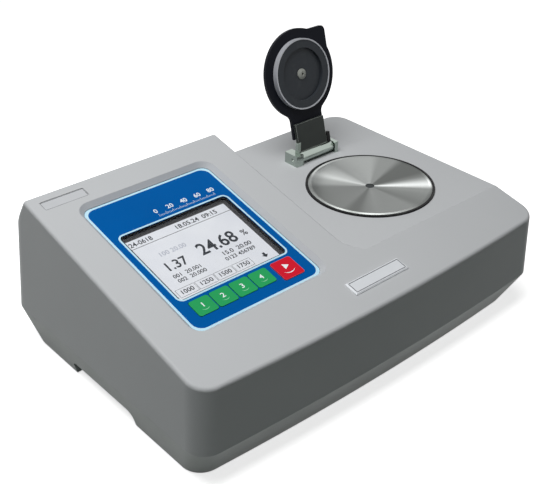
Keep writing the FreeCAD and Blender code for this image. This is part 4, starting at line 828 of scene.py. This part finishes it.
SCREEN_FIGURES = (   # name, figures, height, middle across and along, squeeze
    ("header_left", "24-0618", 4.8, 14.5, 69.2, 0.95),
    ("header_right", "18.05.24  09:15", 4.6, 67, 69.2, 1.05),
    ("faint_value", "100 20.00", 4.6, 30, 50, 1.0),
    ("reading", "24.68", 13, 64.5, 38.6, 0.92),
    ("unit", "%", 6.4, 90.5, 38, 0.9),
    ("index", "1.37", 9.4, 23, 36, 0.92),
    ("left_value_1", "001  20.001", 3.8, 26, 25.4, 1.05),
    ("left_value_2", "002  20.000", 3.8, 26.5, 20, 1.05),
    ("right_value_1", "15.0  20.00", 4.2, 74, 26.6, 1.1),
    ("right_value_2", "0123 456789", 3.8, 73, 20.6, 1.05))
for name, text, height, across, along, squeeze in SCREEN_FIGURES:
    ink = "faint_display_ink" if name == "faint_value" else "display_ink"
    on_screen(f"screen_{name}", lettering(text, height * MM, squeeze), across, along, ink)
HEADER_LINE = Vector((95, 0.45)) * MM / 2
line = box_outline(-HEADER_LINE.x, -HEADER_LINE.y, HEADER_LINE.x, HEADER_LINE.y)
on_screen("screen_header_line", flat_shape([line]), 50.5, 65)
print("display figures:", len(SCREEN_FIGURES))

# %% [markdown]
# The keys below the display do what the four fields above them say. Each field is a thin frame with a
# plain number, and a small arrow beside them points down to the red key.

# %% Fields over the keys
FIELDS, FIELD_WIDTH, FIELD_LOW, FIELD_HIGH = 4, 17.6, 5.2, 13.6
for field in range(FIELDS):
    middle = 5 + FIELD_WIDTH * (field + 0.5)
    height, level = FIELD_HIGH - FIELD_LOW, (FIELD_LOW + FIELD_HIGH) / 2
    outline = [rounded((FIELD_WIDTH - 0.6) * MM, height * MM, 0.5 * MM),
               rounded((FIELD_WIDTH - 1.1) * MM, (height - 0.5) * MM, 0.3 * MM)]
    on_screen(f"screen_field_{field}", flat_shape(outline), middle, level)
    value = lettering(str(1000 + 250 * field), 4.2 * MM, 1.05)
    on_screen(f"screen_field_value_{field}", value, middle, level)
ARROW = [(-1.1, 2.6), (1.1, 2.6), (1.1, 0), (3, 0), (0, -2.8), (-3, 0), (-1.1, 0)]
on_screen("screen_arrow", flat_shape([[(x * MM, y * MM) for x, y in ARROW]]), 88, 9.4)
print("fields:", FIELDS)

# %% [markdown]
# The nameplate on the apron and the plate at the back of the console are left bare. Each has a thin
# dark line just inside its edge, painted shade that stands for the shade along the plate's edge.

# %% Painted shade lines on the two plates
low, high = slope_span("front_nameplate")
# painted shade: a dark line just inside the nameplate's edge
frame_line("nameplate_shade_line", low, high, -1.6 * MM, 0.5 * MM, 0.9 * MM, "engraved_line", rise=high.z)
low, high = slope_span("rear_label_plate")
# painted shade: a dark line just inside the rear label's edge
frame_line("rear_label_shade_line", low, high, -0.3 * MM, 0.35 * MM, 0.9 * MM, "dark_line_ink", rise=high.z)
print("label plate across:", round((high.x - low.x) / MM, 1), "mm")

# %% [markdown]
# A cross-head screw's recess lies in shade, so it shows as a dark cross in its head. Here that shade
# is painted: Growth puts a dark cross on every head, the points are the middles of the heads, and the
# cross is two thin bars. The hinge screws face up and the case screws face down, so the crosses lie
# at the top of the first and at the foot of the others.

# %% Painted shade crosses in the screw heads
def screw_middles(node, top=True):
    """The middle of every screw's head, from the separate shells of the node's mesh."""
    shells = bmesh.new()
    shells.from_mesh(nodes[node].data)
    bmesh.ops.remove_doubles(shells, verts=shells.verts, dist=DOUBLES)
    left, middles = set(shells.verts), []
    while left:
        group, edge = set(), {left.pop()}
        while edge:
            group |= edge
            edge = {end for vertex in edge for line in vertex.link_edges for end in line.verts} - group
        left -= group
        height = (max if top else min)(vertex.co.z for vertex in group)
        rows = [[vertex.co[axis] for vertex in group] for axis in (0, 1)]
        middles.append([(max(row) + min(row)) / 2 for row in rows] + [height])
    shells.free()
    return sorted(middles)


def crosses(node, width, bar, depth, top=True):
    """A dark cross of painted shade on the head of every screw of a node."""
    growth = Growth("crosses", Width=width, Bar=bar, Depth=depth)
    size = growth.size
    cross = growth.tree.nodes.new("GeometryNodeJoinGeometry")
    for x, y in (("Width", "Bar"), ("Bar", "Width")):
        sides = growth.vector(size[x], size[y], size["Depth"])
        growth.feed(cross.inputs[0], growth.node("GeometryNodeMeshCube", None, {"Size": sides}))
    marks = growth.node("GeometryNodeInstanceOnPoints", None,
                        {"Points": growth.points, "Instance": Value(growth, cross.outputs[0])})
    middles = screw_middles(node, top)
    settle(f"{node}_crosses", growth.mesh(marks, "black_moulding", middles), Matrix(), "black_moulding")
    print(node, "with crosses:", len(middles))


# painted shade: dark crosses where the recesses of the screw heads lie in shade
crosses("hinge_screws", 1.5 * MM, 0.3 * MM, 0.04 * MM)
crosses("case_screws", 4.2 * MM, 0.8 * MM, 0.06 * MM, top=False)

# %% [markdown]
# The serial socket is a D-shaped steel shell around a black insert with two rows of gold pins, five
# and four. The solid for it is a plain block, so the visible piece takes its place. Its flange fills
# the block's own outline, the shell has the usual size, and the pins are grown on their points.

# %% Serial socket
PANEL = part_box("rear_panel")[1].y


def rear_place(middle, out=0.0):
    """Lays a flat piece on the rear panel. Its own right is the left of the instrument."""
    turn = Matrix(((-1, 0, 0), (0, 0, 1), (0, 1, 0))).to_4x4()
    return Matrix.Translation((middle.x, PANEL + out, middle.z)) @ turn


def joined(*shapes):
    """Several meshes as one."""
    whole = bmesh.new()
    for shape in shapes:
        whole.from_mesh(shape)
    mesh = bpy.data.meshes.new("joined")
    whole.to_mesh(mesh)
    whole.free()
    return mesh


def lifted(shape, height):
    """The same mesh, moved up."""
    shape.transform(Matrix.Translation((0, 0, height)))
    return shape


def dee(width, height, corner, slant=0.09):
    """The outline of a D-shaped socket, narrower at the bottom."""
    return [(x * (1 + slant * (y / (height / 2) - 1) / 2), y) for x, y in rounded(width, height, corner)]


def pins(points, radius, height):
    """Round contact pins, one on every point."""
    growth = Growth("pins", Radius=radius, Height=height)
    size = growth.size
    stem = growth.node("GeometryNodeMeshCylinder", None,
                       {"Vertices": 10, "Radius": size["Radius"], "Depth": size["Height"]})
    grown = growth.node("GeometryNodeInstanceOnPoints", None, {"Points": growth.points, "Instance": stem})
    return growth.mesh(grown, "brass", points)


WIDTH, HEIGHT, SHEET, FLANGE = 18 * MM, 9.4 * MM, 0.9 * MM, 1.2 * MM
PIN_RADIUS, PIN_PITCH, PIN_ROW = 0.5 * MM, 2.77 * MM, 1.42 * MM
POST_SIDE, POST_RADIUS, POST_LENGTH = 12.4 * MM, 2.5 * MM, 3.2 * MM
low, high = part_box("serial_connector")
middle, reach, body = (low + high) / 2, high.y - PANEL, PANEL - low.y
plate = flat_shape([rounded(high.x - low.x, high.z - low.z, 1.2 * MM)], FLANGE)
shell = flat_shape([dee(WIDTH, HEIGHT, 2.2 * MM), dee(WIDTH - SHEET, HEIGHT - SHEET, 1.8 * MM)], reach)
block = lifted(flat_shape([rounded(WIDTH, HEIGHT, 1 * MM)], body), -body)
socket = settle("serial_shell", joined(plate, shell, block), rear_place(middle), "stamped_steel")
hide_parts("serial_connector")
insert = flat_shape([dee(WIDTH - 1.1 * MM, HEIGHT - 1.1 * MM, 1.7 * MM)], reach - 3.6 * MM)
settle("serial_insert", insert, rear_place(middle), "black_moulding")
spots = [((column - (count - 1) / 2) * PIN_PITCH, row, 0)
         for count, row in ((5, PIN_ROW), (4, -PIN_ROW)) for column in range(count)]
settle("serial_pins", pins(spots, PIN_RADIUS, 3 * MM), rear_place(middle, reach - 2.4 * MM), "brass")
posts = [flat_shape([[(side + x, y) for x, y in circle(POST_RADIUS, 6)]], POST_LENGTH)
         for side in (-POST_SIDE, POST_SIDE)]
settle("serial_posts", joined(*posts), rear_place(middle, FLANGE), "zinc_plate")
print("serial pins:", len(spots))

# %% [markdown]
# The printer socket is a round shell with six pins in a ring, and a key block at its foot. The pins
# stand on the corners of a circle's outline, so the same helper gives the shell and the places.

# %% Printer socket
low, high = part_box("printer_connector")
middle, radius = (low + high) / 2, (high.x - low.x) / 2
reach, body = high.y - PANEL, PANEL - low.y
shell = flat_shape([circle(radius, 48), circle(radius - 1.1 * MM, 48)], reach)
rim = lifted(flat_shape([circle(radius, 48)], body), -body)
socket = settle("printer_shell", joined(shell, rim), rear_place(middle), "stamped_steel")
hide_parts("printer_connector")
insert = flat_shape([circle(radius - 1.15 * MM, 40)], reach - 3.4 * MM)
settle("printer_insert", insert, rear_place(middle), "black_moulding")
key = box_outline(-1.2 * MM, -radius + 1 * MM, 1.2 * MM, -radius + 2.4 * MM)
settle("printer_key", flat_shape([key], reach - 1 * MM), rear_place(middle), "black_moulding")
spots = [(x, y, 0) for x, y in circle(3.6 * MM, 6)]
settle("printer_pins", pins(spots, PIN_RADIUS, 2.6 * MM), rear_place(middle, reach - 2.2 * MM), "brass")
print("printer pins:", len(spots))

# %% [markdown]
# The fuse holder's cap has fine grip ridges around it, for two fingers to turn. Each ridge is a thin
# rod half sunk in the cap, and one rod is grown on every point of a circle.

# %% Grip ridges
RIDGE_SINK = 0.985   # draws the ring of rods in, so that it stays within the cap's own width
low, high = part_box("fuse_holder")
middle, radius = (low + high) / 2, (high.x - low.x) / 2
ridges = Growth("ridges", Count=24, Radius=radius - 0.12 * MM, Ridge=0.3 * MM, Length=5.6 * MM)
size = ridges.size
ring = ridges.node("GeometryNodeMeshCircle", None, {"Vertices": size["Count"], "Radius": size["Radius"]},
                   output="Mesh")
rod = ridges.node("GeometryNodeMeshCylinder", None,
                  {"Vertices": 8, "Radius": size["Ridge"], "Depth": size["Length"]})
grown = ridges.node("GeometryNodeInstanceOnPoints", None, {"Points": ring, "Instance": rod})
grip = ridges.mesh(grown, "black_moulding")
grip.transform(Matrix.Diagonal((RIDGE_SINK, RIDGE_SINK, 1, 1)))
settle("fuse_cap_ridges", grip, rear_place(middle, 3.4 * MM), "black_moulding")
print("cap radius:", round(radius / MM, 2), "mm")

# %% [markdown]
# The rocker of the power switch carries the usual bar and ring for on and off. Its two halves slope
# differently, so each mark is laid on the mean face of its half. It rides on the rocker and turns with it.

# %% Switch marks
rocker = nodes["power_switch_rocker"].data
low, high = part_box("power_switch_rocker")
level = (low.z + high.z) / 2
MARKS = {"on": [box_outline(-0.5 * MM, -2 * MM, 0.5 * MM, 2 * MM)],
         "off": [circle(2 * MM, 24), circle(1.3 * MM, 24)]}
for name, outlines in MARKS.items():
    upper = name == "off"
    face = [side for side in rocker.polygons if side.normal.y > 0.5 and (side.center.z > level) == upper]
    spot = sum((side.center * side.area for side in face), Vector()) / sum(side.area for side in face)
    out = sum((side.normal * side.area for side in face), Vector()).normalized()
    right = Vector((-1, 0, 0))
    place = Matrix.Translation(spot) @ Matrix((right, out.cross(right), out)).transposed().to_4x4()
    settle(f"switch_mark_{name}", flat_shape(outlines), place, "white_ink", "rocker")
print("switch marks:", len(MARKS))

# %% [markdown]
# The light is one plain soft box, high on the left. It lights the tops most, the left side less and the
# front least, as in the photograph. It is large, so that the shadow under the feet has a soft edge.

# %% Light
scene = bpy.context.scene
scene.view_settings.view_transform = "Standard"
SOFTBOX_PLACE, SOFTBOX_AIM = Vector((-0.31, 0.0, 1.15)), Vector((-0.03, 0, 0.08))
light = bpy.data.lights.new("softbox", "AREA")
light.shape = "RECTANGLE"
light.size = light.size_y = 0.8
light.energy = 13.4
softbox = bpy.data.objects.new("softbox", light)
softbox.location = SOFTBOX_PLACE
softbox.rotation_mode = "QUATERNION"
softbox.rotation_quaternion = (SOFTBOX_AIM - SOFTBOX_PLACE).to_track_quat("-Z", "Y")
scene.collection.objects.link(softbox)
print("softbox:", light.energy, "W")

# %% [markdown]
# The world adds a little light to matt surfaces. To the camera, in reflections and through glass it is
# white, so the background is white and metal mirrors it. The kind of ray tells the two uses apart.

# %% World
MATT_LIGHT, MATT_STRENGTH = (0.84, 1.0, 0.92, 1), 0.022


def shown(tree):
    """One for the rays that show the surroundings: to the camera, in a reflection and through glass."""
    camera_ray, glossy_ray, clear_ray = [tree.node("ShaderNodeLightPath", output=f"Is {kind} Ray")
                                         for kind in ("Camera", "Glossy", "Transmission")]
    return (camera_ray + glossy_ray + clear_ray).above(0.5)


scene.world = bpy.data.worlds.new("studio")
scene.world.use_nodes = True
studio = Tree(scene.world.node_tree)
studio.tree.nodes.clear()
matt = studio.node("ShaderNodeBackground", None, {"Color": MATT_LIGHT, "Strength": MATT_STRENGTH})
white = studio.node("ShaderNodeBackground", None, {"Color": (1, 1, 1, 1), "Strength": 1})
around = studio.node("ShaderNodeMixShader", None, {0: shown(studio), 1: matt, 2: white})
studio.feed(studio.tree.nodes.new("ShaderNodeOutputWorld").inputs["Surface"], around)
print("light from all around:", MATT_STRENGTH)

# %% [markdown]
# The floor is pale paper that keeps the shadow around the feet. The camera and the mirrors see it pale,
# and matt surfaces get only a little light back from it. Further away the paper fades into white light
# of its own, so that its edge never shows.

# %% Floor
FLOOR_RADIUS, FADE_FROM, FADE_TO = 6, 0.6, 1.4
PAPER, OWN_LIGHT, BOUNCE = (0.93, 0.93, 0.93, 1), (0.75, 0.75, 0.75, 1), (0.11, 0.13, 0.118, 1)
BLACK, WHITE = (0, 0, 0, 1), (1, 1, 1, 1)
disc = bmesh.new()
bmesh.ops.create_circle(disc, cap_ends=True, radius=FLOOR_RADIUS, segments=64)
floor = bpy.data.objects.new("floor", bpy.data.meshes.new("floor"))
disc.to_mesh(floor.data)
disc.free()
scene.collection.objects.link(floor)
finish = Finish("floor_paper", Roughness=0.9)
seen = shown(finish)
east, north = finish.place("X"), finish.place("Y")
far = ((east * east + north * north) ** 0.5).fade(FADE_FROM, FADE_TO)
finish.put(Base_Color=finish.mix(seen, BOUNCE, finish.mix(far, PAPER, BLACK)),
           Emission_Color=finish.mix(seen, BLACK, finish.mix(far, OWN_LIGHT, WHITE)), Emission_Strength=1)
floor.data.materials.append(finish.material)
print("floor radius:", FLOOR_RADIUS, "m")
